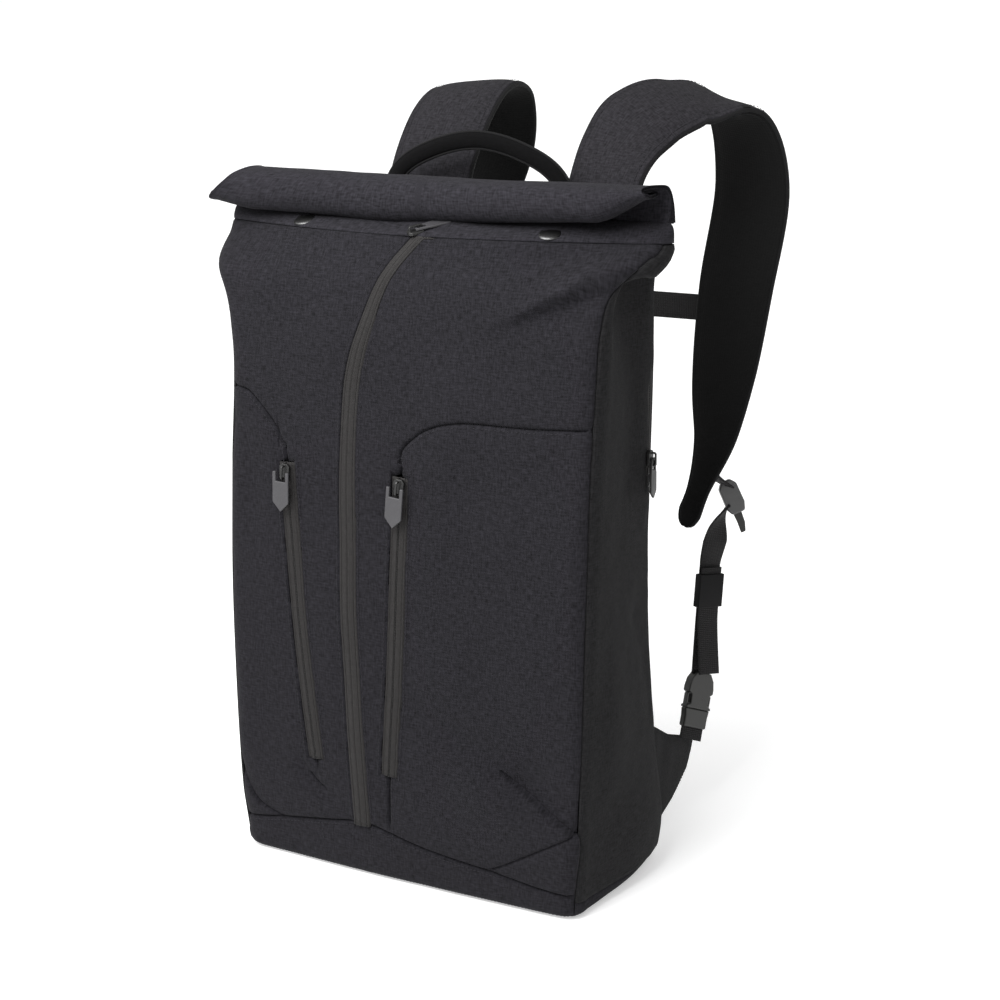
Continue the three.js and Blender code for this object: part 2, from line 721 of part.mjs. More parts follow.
function bucklePlug() {
  const length = buckleLength * 0.38;
  const root = toSolid(plate(boxOutline(buckleWidth, length, 0, 0, 3), [], buckleThickness * 0.9));
  const reach = buckleLength * 0.4;
  const depth = buckleThickness * 0.4;
  const arms = [-1, 0, 1].map((side) => {
    return block(buckleWidth * 0.12, reach, depth, side * buckleWidth * 0.24, -length / 2 - reach / 2 + 1);
  });
  return toGeometry(arms.reduce((whole, arm) => whole.add(arm), root));
}

// The adjusting webbing, its buckles and the wing that anchors it, on one side of the bag.
function addHardware(name, side, route) {
  const place = (x, y, z) => {
    return new THREE.Vector3(side * x * halfWidth, backFace + y * strapReach, z * bodyHeight);
  };
  const lock = place(1.116, 0.663, 0.53);
  const lockFrom = place(1.06, 0.62, 0.63);
  const lockAlong = lock.clone().sub(lockFrom).normalize();
  const lockAcross = new THREE.Vector3(0.77 * side, -0.62, 0.15).normalize();
  stand(add(`ladder_lock_${name}`, "plastic", ladderLock()), lock, lockAlong, lockAcross);

  const sewn = strapSections(route, 4, strapEnd.from, strapEnd.to).map((section) => {
    const strapHalf = (strapThickness / 2) * Math.min(1, 0.5 + section.share * 0.6);
    const rise = -strapHalf - webbingThickness / 2 - seamGap * 2;
    return { ...section, place: section.place.clone().addScaledVector(section.out, rise) };
  });
  const lockTop = lock.clone().addScaledVector(lockAlong, -lockLength / 2 - seamGap * 3);
  const last = sewn[sewn.length - 1];
  const upper = [...sewn, { place: lockTop, across: crossed(lockAcross, lockAlong), out: last.out }];
  add(`adjuster_tape_${name}`, "webbing", tape(upper, webbingWidth));

  const low = new THREE.Vector3(0.5 * side, 0.8, -0.3).normalize();
  const buckle = place(1, 0.567, 0.197);
  const wingTip = place(1, 0.49, 0.137);
  const along = wingTip.clone().sub(buckle).normalize();
  const out = crossed(low, along).cross(along).normalize();
  const socketPlace = buckle.clone().addScaledVector(along, -buckleLength * 0.21);
  const plugPlace = buckle.clone().addScaledVector(along, buckleLength * 0.28);
  stand(add(`buckle_socket_${name}`, "plastic", buckleSocket()), socketPlace, along, low);
  stand(add(`buckle_plug_${name}`, "plastic", bucklePlug()), plugPlace, along, low);

  const lockFoot = lock.clone().addScaledVector(lockAlong, lockLength * 0.65 + seamGap);
  const keeper = place(1, 0.68, 0.376);
  const socketTop = socketPlace.clone().addScaledVector(along, -buckleLength * 0.29 - seamGap);
  const down = new THREE.Vector3(0, -0.15, -1).normalize();
  const keeperAcross = crossed(low, down);
  const keeperOut = keeperAcross.clone().cross(down).normalize();
  const spread = (webbingThickness + seamGap) / 2;
  const hang = (at, offset, across, facing) => {
    return { place: at.clone().addScaledVector(facing, offset), across, out: facing };
  };
  const webbing = [
    hang(lockFoot, 0, crossed(lockAcross, lockAlong), keeperOut),
    hang(keeper.clone().addScaledVector(down, -keeperLength * 0.9), spread, keeperAcross, keeperOut),
    hang(keeper, spread, keeperAcross, keeperOut),
    hang(keeper.clone().addScaledVector(down, keeperLength * 0.9), spread, keeperAcross, keeperOut),
    hang(socketTop, 0, crossed(low, along), out),
  ];
  add(`strap_webbing_${name}`, "webbing", tape(webbing, webbingWidth));
  const tail = [
    hang(keeper.clone().addScaledVector(down, -keeperLength * 0.7), -spread, keeperAcross, keeperOut),
    hang(keeper, -spread, keeperAcross, keeperOut),
    hang(keeper.clone().addScaledVector(down, keeperLength), -spread * 1.6, keeperAcross, keeperOut),
    hang(keeper.clone().lerp(socketTop, tailShare), -spread * 9, keeperAcross, keeperOut),
  ];
  add(`webbing_tail_${name}`, "webbing", tape(tail, webbingWidth));
  const bore = [webbingWidth + seamGap * 3, webbingThickness * 2 + seamGap * 5];
  const ringSize = bore.map((size) => size + keeperWall * 2);
  const ring = plate(boxOutline(...ringSize), [boxOutline(...bore)], keeperLength).rotateX(Math.PI / 2);
  stand(add(`strap_keeper_${name}`, "webbing", ring), keeper, down, keeperAcross);

  const plugFoot = plugPlace.clone().addScaledVector(along, buckleLength * 0.19 + seamGap);
  const anchor = [
    hang(plugFoot, 0, crossed(low, along), out),
    hang(wingTip.clone().addScaledVector(along, 2), 0, crossed(low, along), out),
  ];
  add(`anchor_webbing_${name}`, "webbing", tape(anchor, webbingWidth));
}

function crossed(across, along) {
  return across.clone().addScaledVector(along, -across.dot(along)).normalize();
}

function tape(sections, width) {
  return band(
    sections.map((section) => ({ ...section, width, thick: webbingThickness })),
    webbingThickness / 3,
  );
}

// A zip slider lies on its tape, and its pull hangs from a bar under the slider's arch. The
// pull turns about that bar, which lies across the tape at the pull's own origin.
function sliderSolid() {
  const body = toSolid(plate(boxOutline(sliderWidth, sliderLength, 0, 0, 2), [], sliderThickness));
  const arch = plate(
    boxOutline(archHeight * 2, archLength, 0, 0, 1.2),
    [boxOutline(archHeight * 1.46, archLength - archWidth * 1.9)],
    archWidth,
  ).rotateY(Math.PI / 2);
  const middle = archHeight + sliderThickness * 0.1;
  const above = block(archWidth * 4, archLength * 2, archHeight * 2, 0, 0, middle);
  return toGeometry(body.add(toSolid(arch).intersect(above)));
}

function pullGeometry() {
  const half = pullWidth / 2;
  const neck = pullHoleLength + pullBar;
  const widest = neck * 1.38;
  const point = pullWidth * 0.48;
  const outline = [
    [-half * 0.7, -pullBar],
    [half * 0.7, -pullBar],
    [half * 0.85, neck],
    [half, widest],
    [half, pullLength - point],
    [0, pullLength],
    [-half, pullLength - point],
    [-half, widest],
    [-half * 0.85, neck],
  ];
  const hole = boxOutline(pullHoleWidth, pullHoleLength, 0, pullBar + pullHoleLength / 2);
  return plate(outline, [hole], pullThickness);
}

// along is the way down the zip, and hang the way that the pull points from its bar.
function addSlider(name, surface, round, height, along, hang = along) {
  const normal = normalAt(surface, round, height);
  const seat = surface(round, height);
  const down = crossed(along, normal);
  const across = down.clone().cross(normal).normalize();
  const level = sliderThickness / 2 + seamGap;
  const slider = add(`${name}_slider`, "pullPlastic", sliderSolid());
  stand(slider, seat.clone().addScaledVector(normal, level), down, across);
  const bar = level + sliderThickness / 2 + seamGap * 1.3 + pullThickness / 2;
  const pull = add(`${name}_pull`, "pullPlastic", pullGeometry());
  const pointing = hang === along ? down : crossed(hang, across);
  stand(pull, seat.clone().addScaledVector(normal, bar), pointing, across);
}

function addSliders() {
  const down = new THREE.Vector3(0, 0, -1);
  const onFront = (places, z) => {
    const nearest = places.reduce((best, place) => {
      return Math.abs(place.y - z) < Math.abs(best.y - z) ? place : best;
    });
    const section = sectionAt(z);
    const wide = halfWidth * (nearest.x < 0 ? section.left : section.right) - cornerRadius;
    return (0.9 * nearest.x) / wide;
  };
  const pocketPull = leftZip[leftZip.length - 1].y - sliderLength * 0.55;
  const leftHang = new THREE.Vector3(-0.08, 0, -1);
  const rightHang = new THREE.Vector3(-0.12, 0, -1);
  addSlider("pocket_zip_left", outer, onFront(leftZip, pocketPull), pocketPull, leftHang);
  addSlider("pocket_zip_right", outer, onFront(rightZip, pocketPull), pocketPull, rightHang);
  // The main zip runs over the rim, and its pull lies back under the roll.
  const run = sliderLength * 0.35;
  const upwards = new THREE.Vector3(0.65, 0.74, 0.18);
  addSlider("main_zip", collarSlope, onFront(mainZip, wallTop), run, upwards.clone().negate(), upwards);

  // The zip at the rear of the right side lies over the side panel.
  const from = bodyHeight * 0.645;
  const length = bodyHeight * 0.17;
  const rows = Array.from({ length: 7 }, (unused, i) => from + (i * length) / 6);
  const columns = [-1, 0, 1].map((side) => sideZipRound + side * sideZipHalfWidth);
  const lift = zipThickness + seamGap * 2;
  add("side_zip", "zipTape", sheet(outer, columns, rows, zipThickness, -lift));
  const raised = (share, height) => {
    return outer(share, height).addScaledVector(normalAt(outer, share, height), lift);
  };
  addSlider("side_zip", raised, sideZipRound, from + sliderLength, down);
}

// The wings that carry the lower webbing stand out from the rear edges near the base.
function addWings() {
  const wingTop = bodyHeight * 0.28;
  const steps = 12;
  const wingHeights = Array.from({ length: steps + 1 }, (unused, i) => {
    return baseRadius + ((wingTop - baseRadius) * i) / steps;
  });
  const grown = loft(
    wingHeights.map((height) => {
      return Array.from({ length: 48 }, (unused, i) => {
        const round = -3 + i / 8;
        const normal = normalAt(outer, round, height);
        return outer(round, height).addScaledVector(normal, seamGap * 3).setZ(height);
      });
    }),
  );
  const body = toSolid(grown);
  const outline = [
    [-0.12, 0.03],
    [0.1, 0.03],
    [0.21, 0.031],
    [0.36, 0.043],
    [0.5, 0.07],
    [0.565, 0.108],
    [0.53, 0.122],
    [0.43, 0.135],
    [0.27, 0.16],
    [0.1, 0.2],
    [0.0, 0.226],
    [-0.12, 0.24],
  ].map(([y, z]) => new THREE.Vector2(backFace + y * strapReach, z * bodyHeight));
  for (const [name, side] of [["right", 1], ["left", -1]]) {
    const shape = new THREE.Shape(outline);
    const geometry = new THREE.ExtrudeGeometry(shape, { depth: wingThickness, bevelEnabled: false });
    const turned = new THREE.Matrix4().makeBasis(
      new THREE.Vector3(0, 1, 0),
      new THREE.Vector3(0, 0, 1),
      new THREE.Vector3(1, 0, 0),
    );
    geometry.applyMatrix4(turned);
    geometry.translate(side * halfWidth * 0.955 - wingThickness / 2, 0, 0);
    add(`strap_wing_${name}`, "sideCloth", toGeometry(toSolid(geometry).subtract(body)));
  }
}

// How far back a shoulder strap reaches near a height.
function rearReach(route, height) {
  const near = strapSections(route, 60).filter((section) => {
    return Math.abs(section.place.z - height) < strapWidth / 2;
  });
  const reaches = near.map(({ place, across, out, share }) => {
    const wide = (Math.abs(across.y) * strapWidth * share) / 2;
    return place.y + wide + (Math.abs(out.y) * strapThickness) / 2;
  });
  return Math.max(...reaches);
}

// The chest strap runs behind the shoulder straps, with one plain hidden clasp at its middle.
function addSternum() {
  const height = bodyHeight * 0.83;
  const strapRear = Math.max(...[rightStrapRoute, leftStrapRoute].map((route) => rearReach(route, height)));
  const behind = strapRear + seamGap * 3 + webbingThickness / 2;
  const clasp = buckleLength / 2;
  const reach = halfWidth * 0.95;
  const ends = [["left", -1], ["right", 1]];
  for (const [name, side] of ends) {
    const length = reach - clasp - seamGap;
    const geometry = new THREE.BoxGeometry(length, webbingThickness, webbingWidth);
    const mesh = add(`sternum_strap_${name}`, "webbing", geometry);
    mesh.position.set(side * (clasp + seamGap + length / 2), behind, height);
  }
  const block = new THREE.BoxGeometry(clasp * 2, buckleThickness, buckleWidth);
  const mesh = add("sternum_clasp", "plastic", block);
  mesh.position.set(0, behind, height);
}

// Round snaps on the slope under the roll.
function addSnaps() {
  for (const [name, share] of [["left", -0.53], ["right", 0.55]]) {
    const profile = [
      new THREE.Vector2(0, 0),
      new THREE.Vector2(snapRadius, 0),
      new THREE.Vector2(snapRadius, snapThickness * 0.4),
      new THREE.Vector2(snapRadius * 0.8, snapThickness * 0.9),
      new THREE.Vector2(0, snapThickness),
    ];
    const run = rollDepth * 0.26;
    const normal = normalAt(collarSlope, share, run);
    const cap = new THREE.LatheGeometry(profile, 20);
    cap.applyQuaternion(new THREE.Quaternion().setFromUnitVectors(new THREE.Vector3(0, 1, 0), normal));
    cap.translate(...collarSlope(share, run).addScaledVector(normal, seamGap * 2).toArray());
    add(`roll_snap_${name}`, "metal", cap);
  }
}

addWalls();
addFront();
addBase();
addRoll();
addStraps();
addHandle();
addHardware("right", 1, rightStrapRoute);
addHardware("left", -1, leftStrapRoute);
addSliders();
addWings();
addSternum();
addSnaps();

export default group;
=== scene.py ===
import math

import bpy
import bmesh
import numpy as np
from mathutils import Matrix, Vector
from mathutils.geometry import delaunay_2d_cdt


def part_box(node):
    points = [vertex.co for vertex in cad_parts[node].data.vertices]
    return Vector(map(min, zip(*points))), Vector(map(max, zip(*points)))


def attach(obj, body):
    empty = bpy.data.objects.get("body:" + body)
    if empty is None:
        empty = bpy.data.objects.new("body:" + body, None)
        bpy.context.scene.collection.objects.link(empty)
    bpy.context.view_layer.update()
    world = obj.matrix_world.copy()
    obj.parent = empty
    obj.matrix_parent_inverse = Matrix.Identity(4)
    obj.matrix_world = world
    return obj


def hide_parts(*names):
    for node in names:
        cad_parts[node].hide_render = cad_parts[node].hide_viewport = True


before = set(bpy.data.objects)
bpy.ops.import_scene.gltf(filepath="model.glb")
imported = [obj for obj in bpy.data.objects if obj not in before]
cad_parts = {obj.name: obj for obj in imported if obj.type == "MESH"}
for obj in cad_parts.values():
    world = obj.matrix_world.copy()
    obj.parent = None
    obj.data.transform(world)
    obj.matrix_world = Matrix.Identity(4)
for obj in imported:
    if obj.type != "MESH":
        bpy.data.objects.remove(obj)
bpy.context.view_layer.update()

# Lengths are worked out in millimetres and written to the meshes in metres.
millimetre = 0.001
body = "bag"
print("frame loaded:", len(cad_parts), "nodes")


# ---- node helpers: one wrapper for shader maths and one method for every other node
class Value:
    def __init__(self, graph, socket):
        self.graph = graph
        self.socket = socket

    def maths(self, operation, *others):
        return self.graph.add("ShaderNodeMath", {"operation": operation}, dict(enumerate((self, *others))))

    def __add__(self, other): return self.maths("ADD", other)
    def __radd__(self, other): return self.maths("ADD", other)
    def __sub__(self, other): return self.maths("SUBTRACT", other)
    def __rsub__(self, other): return self.graph.add("ShaderNodeMath", {"operation": "SUBTRACT"}, {0: other, 1: self})
    def __mul__(self, other): return self.maths("MULTIPLY", other)
    def __rmul__(self, other): return self.maths("MULTIPLY", other)
    def __truediv__(self, other): return self.maths("DIVIDE", other)
    def __pow__(self, other): return self.maths("POWER", other)
    def sine(self): return self.maths("SINE")
    def size(self): return self.maths("ABSOLUTE")


class Graph:
    def __init__(self, tree):
        self.tree = tree
        tree.nodes.clear()

    def add(self, kind, settings=None, sockets=None, output=0):
        node = self.tree.nodes.new(kind)
        for name, value in (settings or {}).items():
            if name == "stops":
                for i, (place, colour) in enumerate(value):
                    stop = node.color_ramp.elements[i] if i < 2 else node.color_ramp.elements.new(place)
                    stop.position = place
                    stop.color = colour
            else:
                setattr(node, name, value)
        for name, value in (sockets or {}).items():
            if isinstance(value, Value):
                self.tree.links.new(value.socket, node.inputs[name])
            else:
                node.inputs[name].default_value = value
        return Value(self, node.outputs[output]) if len(node.outputs) else node

    def outlet(self, value, name):
        return Value(self, value.socket.node.outputs[name])


def newMaterial(name):
    material = bpy.data.materials.new(name)
    material.use_nodes = True
    return material, Graph(material.node_tree)


def colour(level, tint=(1, 1, 1)):
    return (level * tint[0], level * tint[1], level * tint[2], 1)


def closeMaterial(graph, sockets, bump=None, strength=0.5, distance=0.0004):
    sockets = dict(sockets)
    if bump is not None:
        sockets["Normal"] = graph.add("ShaderNodeBump", None, {"Height": bump, "Strength": strength, "Distance": distance})
    shader = graph.add("ShaderNodeBsdfPrincipled", None, sockets)
    graph.add("ShaderNodeOutputMaterial", None, {"Surface": shader})


# Woven cloth: the threads follow the piece's own UV map, which is in metres.
def clothMaterial(name, level, tint, pitch=0.0007, relief=0.00035, speckle=1.5, sheen=0.01, roughness=0.9):
    material, graph = newMaterial(name)
    uv = graph.add("ShaderNodeUVMap", {"uv_map": "weave"})
    split = graph.add("ShaderNodeSeparateXYZ", None, {0: uv})
    across, along = split, graph.outlet(split, "Y")
    turn = 2 * math.pi / pitch
    warp = (across * turn).sine()
    weft = (along * turn).sine()
    weave = (warp * weft + warp * 0.35 + weft * 0.35) * 0.5
    stretched = graph.add("ShaderNodeVectorMath", {"operation": "MULTIPLY"}, {0: uv, 1: (1, 0.35, 1)})
    slub = graph.add("ShaderNodeTexNoise", None, {"Vector": stretched, "Scale": 900, "Detail": 2})
    broad = graph.add("ShaderNodeTexNoise", None, {"Vector": uv, "Scale": 14, "Detail": 3})
    upright = graph.add("ShaderNodeVectorMath", {"operation": "MULTIPLY"}, {0: uv, 1: (1, 0.22, 1)})
    level2 = graph.add("ShaderNodeVectorMath", {"operation": "MULTIPLY"}, {0: uv, 1: (0.22, 1, 1)})
    pill = (graph.add("ShaderNodeTexNoise", None, {"Vector": upright, "Scale": 820, "Detail": 1})
            + graph.add("ShaderNodeTexNoise", None, {"Vector": level2, "Scale": 820, "Detail": 1})) * 0.5
    shade = 1 + (pill - 0.5) * speckle * 2 + (broad - 0.5) * 0.22 + weave * 0.05
    base = graph.add("ShaderNodeMix", {"data_type": "RGBA", "blend_type": "MULTIPLY"}, {0: 1.0}, 2)
    mix = base.socket.node
    graph.tree.links.new(graph.add("ShaderNodeCombineColor", None, {0: shade, 1: shade, 2: shade}).socket, mix.inputs[7])
    mix.inputs[6].default_value = colour(level, tint)
    rough = roughness + (pill - 0.5) * 0.12
    height = weave * 0.6 + slub * 0.8
    closeMaterial(graph, {
        "Base Color": base, "Roughness": rough, "Sheen Weight": sheen, "Sheen Roughness": 0.5,
        "Specular IOR Level": 0.1}, height, 0.6, relief)
    return material


# Narrow webbing: ribs across its length and a denser edge.
def webbingMaterial(name, level, tint, rib=0.0016):
    material, graph = newMaterial(name)
    uv = graph.add("ShaderNodeUVMap", {"uv_map": "weave"})
    split = graph.add("ShaderNodeSeparateXYZ", None, {0: uv})
    along = graph.outlet(split, "Y")
    ribs = (along * (2 * math.pi / rib)).sine()
    cords = (split * (2 * math.pi / 0.0022)).sine()
    speck = graph.add("ShaderNodeTexNoise", None, {"Vector": uv, "Scale": 700, "Detail": 2})
    shade = 1 + ribs * 0.14 + cords * 0.1 + (speck - 0.5) * 0.5
    mixed = graph.add("ShaderNodeMix", {"data_type": "RGBA", "blend_type": "MULTIPLY"}, {0: 1.0}, 2)
    node = mixed.socket.node
    graph.tree.links.new(graph.add("ShaderNodeCombineColor", None, {0: shade, 1: shade, 2: shade}).socket, node.inputs[7])
    node.inputs[6].default_value = colour(level, tint)
    closeMaterial(graph, {
        "Base Color": mixed, "Roughness": 0.74 + (speck - 0.5) * 0.2, "Specular IOR Level": 0.2}, ribs + cords * 0.5, 0.7, 0.0003)
    return material


def plasticMaterial(name, level, tint, roughness, grain=0.00006):
    material, graph = newMaterial(name)
    place = graph.outlet(graph.add("ShaderNodeTexCoord"), "Object")
    fine = graph.add("ShaderNodeTexNoise", None, {"Vector": place, "Scale": 2600, "Detail": 2})
    broad = graph.add("ShaderNodeTexNoise", None, {"Vector": place, "Scale": 180, "Detail": 3})
    wear = graph.add("ShaderNodeMix", {"data_type": "RGBA"}, {0: broad}, 2)
    node = wear.socket.node
    node.inputs[6].default_value = colour(level * 0.86, tint)
    node.inputs[7].default_value = colour(level * 1.18, tint)
    closeMaterial(graph, {"Base Color": wear, "Roughness": roughness + (broad - 0.5) * 0.15}, fine, 0.35, grain)
    return material


def metalMaterial(name, level, roughness):
    material, graph = newMaterial(name)
    place = graph.outlet(graph.add("ShaderNodeTexCoord"), "Object")
    streak = graph.add("ShaderNodeTexNoise", None, {"Vector": place, "Scale": 900, "Detail": 3})
    closeMaterial(graph, {
        "Base Color": colour(level), "Metallic": 1.0, "Roughness": roughness + (streak - 0.5) * 0.2}, streak, 0.2, 0.00005)
    return material


# Knitted spacer mesh for the back and the inside of the straps.
def meshMaterial(name, level):
    material, graph = newMaterial(name)
    uv = graph.add("ShaderNodeUVMap", {"uv_map": "weave"})
    cells = graph.add("ShaderNodeTexVoronoi", {"feature": "F1"}, {"Vector": uv, "Scale": 420, "Randomness": 0.25})
    speck = graph.add("ShaderNodeTexNoise", None, {"Vector": uv, "Scale": 500, "Detail": 2})
    shade = 0.55 + cells * 1.1 + (speck - 0.5) * 0.3
    mixed = graph.add("ShaderNodeMix", {"data_type": "RGBA", "blend_type": "MULTIPLY"}, {0: 1.0}, 2)
    node = mixed.socket.node
    graph.tree.links.new(graph.add("ShaderNodeCombineColor", None, {0: shade, 1: shade, 2: shade}).socket, node.inputs[7])
    node.inputs[6].default_value = colour(level)
    closeMaterial(graph, {"Base Color": mixed, "Roughness": 0.9, "Specular IOR Level": 0.15}, cells, 0.8, 0.0006)
    return material


materials = {
    "front": clothMaterial("front cloth", 0.0112, (1.0, 0.95, 1.16)),
    # The side cloth is the front cloth made a little darker and greyer: painted shade for the sides turned away from
    # the light; the base and the wings use it too.
    "side": clothMaterial("side cloth", 0.0105, (1.0, 0.98, 1.04)),
    "collar": clothMaterial("collar cloth", 0.0145, (1.0, 0.95, 1.16), relief=0.0003),
    "strap": clothMaterial("strap cloth", 0.0155, (1.0, 0.95, 1.1)),
    "handle": clothMaterial("handle cloth", 0.0016, (1.0, 0.95, 1.1)),
    "binding": webbingMaterial("binding", 0.003, (1.0, 0.95, 1.08), rib=0.0011),
    "mesh": meshMaterial("spacer mesh", 0.003),
    "back": meshMaterial("back mesh", 0.011),
    "tape": clothMaterial("zip tape", 0.019, (1.0, 0.94, 0.93), pitch=0.0011, speckle=0.5, sheen=0, roughness=0.55),
    "coil": plasticMaterial("zip coil", 0.006, (1, 0.97, 0.92), 0.45),
    "thread": clothMaterial("thread", 0.024, (1, 0.96, 1.1), speckle=0.1),
    "webbing": webbingMaterial("webbing", 0.0125, (1.0, 0.95, 0.98)),
    "plastic": plasticMaterial("buckle plastic", 0.012, (1.0, 1.0, 0.9), 0.3),
    "lock": plasticMaterial("lock plastic", 0.06, (1.0, 1.0, 1.0), 0.3),
    "pull": plasticMaterial("pull plastic", 0.034, (1.0, 0.97, 1.06), 0.5),
    "metal": metalMaterial("snap metal", 0.09, 0.38),
}
print("materials:", len(materials))


# ---- mesh helpers
def makePiece(name, points, faces, uv=None, material=None):
    mesh = bpy.data.meshes.new(name)
    mesh.from_pydata((np.asarray(points, float) * millimetre).tolist(), [], [list(map(int, face)) for face in faces])
    if uv is not None:
        layer = mesh.uv_layers.new(name="weave")
        corners = np.empty(len(mesh.loops), dtype=np.int32)
        mesh.loops.foreach_get("vertex_index", corners)
        layer.data.foreach_set("uv", (np.asarray(uv, float) * millimetre)[corners].astype(np.float32).ravel())
    mesh.polygons.foreach_set("use_smooth", [True] * len(mesh.polygons))
    mesh.update()
    piece = bpy.data.objects.new(name, mesh)
    bpy.context.scene.collection.objects.link(piece)
    if material:
        mesh.materials.append(materials[material])
    return piece


def addWall(piece, thickness, offset=-1):
    wall = piece.modifiers.new("wall", "SOLIDIFY")
    wall.thickness = thickness * millimetre
    wall.offset = offset
    wall.use_even_offset = False
    return piece


def fixPiece(piece, nodes=(), carrier=body):
    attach(piece, carrier)
    if nodes:
        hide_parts(*nodes)
    return piece


def recalculate(mesh, merge=0.0):
    shape = bmesh.new()
    shape.from_mesh(mesh)
    if merge:
        bmesh.ops.remove_doubles(shape, verts=shape.verts, dist=merge)
    bmesh.ops.recalc_face_normals(shape, faces=shape.faces)
    shape.to_mesh(mesh)
    shape.free()


# A grid of points in rows and columns as one piece, with its UV map in true lengths.
def gridPiece(name, points, material, closeColumns=False, closeRows=False, caps=False):
    rows, columns = points.shape[:2]
    flat = points.reshape(-1, 3).tolist()
    faces = []
    for row in range(rows if closeRows else rows - 1):
        below, above = row * columns, ((row + 1) % rows) * columns
        for column in range(columns if closeColumns else columns - 1):
            after = (column + 1) % columns
            faces.append((below + column, below + after, above + after, above + column))
    if caps:
        faces.append(tuple(reversed(range(columns))))
        faces.append(tuple((rows - 1) * columns + column for column in range(columns)))
    steps = np.linalg.norm(np.diff(points, axis=1), axis=2)
    across = np.concatenate([np.zeros((rows, 1)), np.cumsum(steps, axis=1)], axis=1)
    climbs = np.linalg.norm(np.diff(points, axis=0), axis=2).mean(axis=1)
    along = np.concatenate([[0], np.cumsum(climbs)])
    middle = across[rows // 2]
    uv = np.stack(np.broadcast_arrays(middle[None, :], along[:, None]), axis=-1).reshape(-1, 2)
    return makePiece(name, flat, faces, uv, material)


def smoothColumn(values, place):
    values = np.asarray(values, float)
    last = len(values) - 1
    place = np.asarray(place, float)
    row = np.clip(np.floor(place).astype(int), 0, last - 1)
    t = place - row
    before, start = values[np.maximum(row - 1, 0)], values[row]
    end, after = values[row + 1], values[np.minimum(row + 2, last)]
    return 0.5 * (2 * start + (end - before) * t + (2 * before - 5 * start + 4 * end - after) * t ** 2
                  + (-before + 3 * start - 3 * end + after) * t ** 3)


def smoothstep(low, high, value):
    t = np.clip((np.asarray(value, float) - low) / (high - low), 0, 1)
    return t * t * (3 - 2 * t)


# Distance from points to a polyline, the share along it and the side (positive is to its left).
def lineDistance(points, line):
    points, line = np.asarray(points, float), np.asarray(line, float)
    start, step = line[:-1], np.diff(line, axis=0)
    length = np.maximum((step ** 2).sum(1), 1e-9)
    best = np.full(len(points), 1e9)
    share = np.zeros(len(points))
    side = np.ones(len(points))
    for i in range(len(step)):
        offset = points - start[i]
        t = np.clip(offset @ step[i] / length[i], 0, 1)
        gap = offset - t[:, None] * step[i]
        distance = np.hypot(gap[:, 0], gap[:, 1])
        nearer = distance < best
        best = np.where(nearer, distance, best)
        share = np.where(nearer, (i + t) / len(step), share)
        turned = step[i][0] * offset[:, 1] - step[i][1] * offset[:, 0]
        side = np.where(nearer, np.where(turned >= 0, 1.0, -1.0), side)
    return best, share, side


# Soft random relief made of a few fixed waves.
def ripple(u, v, length, seed):
    waves = np.random.default_rng(seed)
    total = 0
    for _ in range(7):
        angle, phase, scale = waves.uniform(0, 2 * math.pi), waves.uniform(0, 2 * math.pi), waves.uniform(0.7, 1.7)
        total = total + np.sin((u * math.cos(angle) + v * math.sin(angle)) * 2 * math.pi * scale / length + phase)
    return total / 4


# ---- the bag's surface
bagShape = {"halfWidth": 155, "halfDepth": 65, "height": 505, "baseRadius": 8, "cornerRadius": 18, "baseSeam": 14}
sections = [
    {"at": 0.0, "left": 0.985, "right": 0.955, "front": 0.955, "bow": 0.045, "tuck": -0.02, "back": 0.995, "rear": 1.16, "rearBow": 0.0},
    {"at": 0.1, "left": 1.015, "right": 0.972, "front": 0.985, "bow": 0.07, "tuck": -0.03, "back": 1.02, "rear": 1.2, "rearBow": 0.0},
    {"at": 0.25, "left": 1.03, "right": 0.985, "front": 0.98, "bow": 0.08, "tuck": -0.025, "back": 1.02, "rear": 1.1, "rearBow": 0.02},
    {"at": 0.45, "left": 1.03, "right": 0.995, "front": 0.97, "bow": 0.08, "tuck": -0.01, "back": 1.0, "rear": 0.93, "rearBow": 0.03},
    {"at": 0.65, "left": 1.0, "right": 1.005, "front": 0.97, "bow": 0.06, "tuck": 0.0, "back": 1.0, "rear": 0.91, "rearBow": 0.03},
    {"at": 0.8, "left": 0.97, "right": 1.025, "front": 0.96, "bow": 0.05, "tuck": 0.02, "back": 0.99, "rear": 1.0, "rearBow": 0.03},
    {"at": 0.88, "left": 0.995, "right": 1.04, "front": 0.93, "bow": 0.06, "tuck": 0.05, "back": 0.98, "rear": 1.0, "rearBow": 0.02},
    {"at": 0.94, "left": 1.06, "right": 1.08, "front": 0.8, "bow": 0.12, "tuck": 0.11, "back": 1.0, "rear": 0.94, "rearBow": 0.03},
    {"at": 1.0, "left": 1.13, "right": 1.19, "front": 0.2, "bow": 0.56, "tuck": 0.2, "back": 1.13, "rear": 0.4, "rearBow": 0.42},
]
halfWidth, halfDepth, bagHeight = bagShape["halfWidth"], bagShape["halfDepth"], bagShape["height"]
levelHeights = np.arange(0, bagHeight + 1)
levelPlace = np.interp(levelHeights / bagHeight, [row["at"] for row in sections], range(len(sections)))
profile = {key: smoothColumn([row[key] for row in sections], levelPlace) for key in sections[0]}


def sectionValue(key, height):
    return np.interp(height, levelHeights, profile[key])


def bezier(a, b, c, t):
    return (1 - t) ** 2 * a + 2 * t * (1 - t) * b + t ** 2 * c


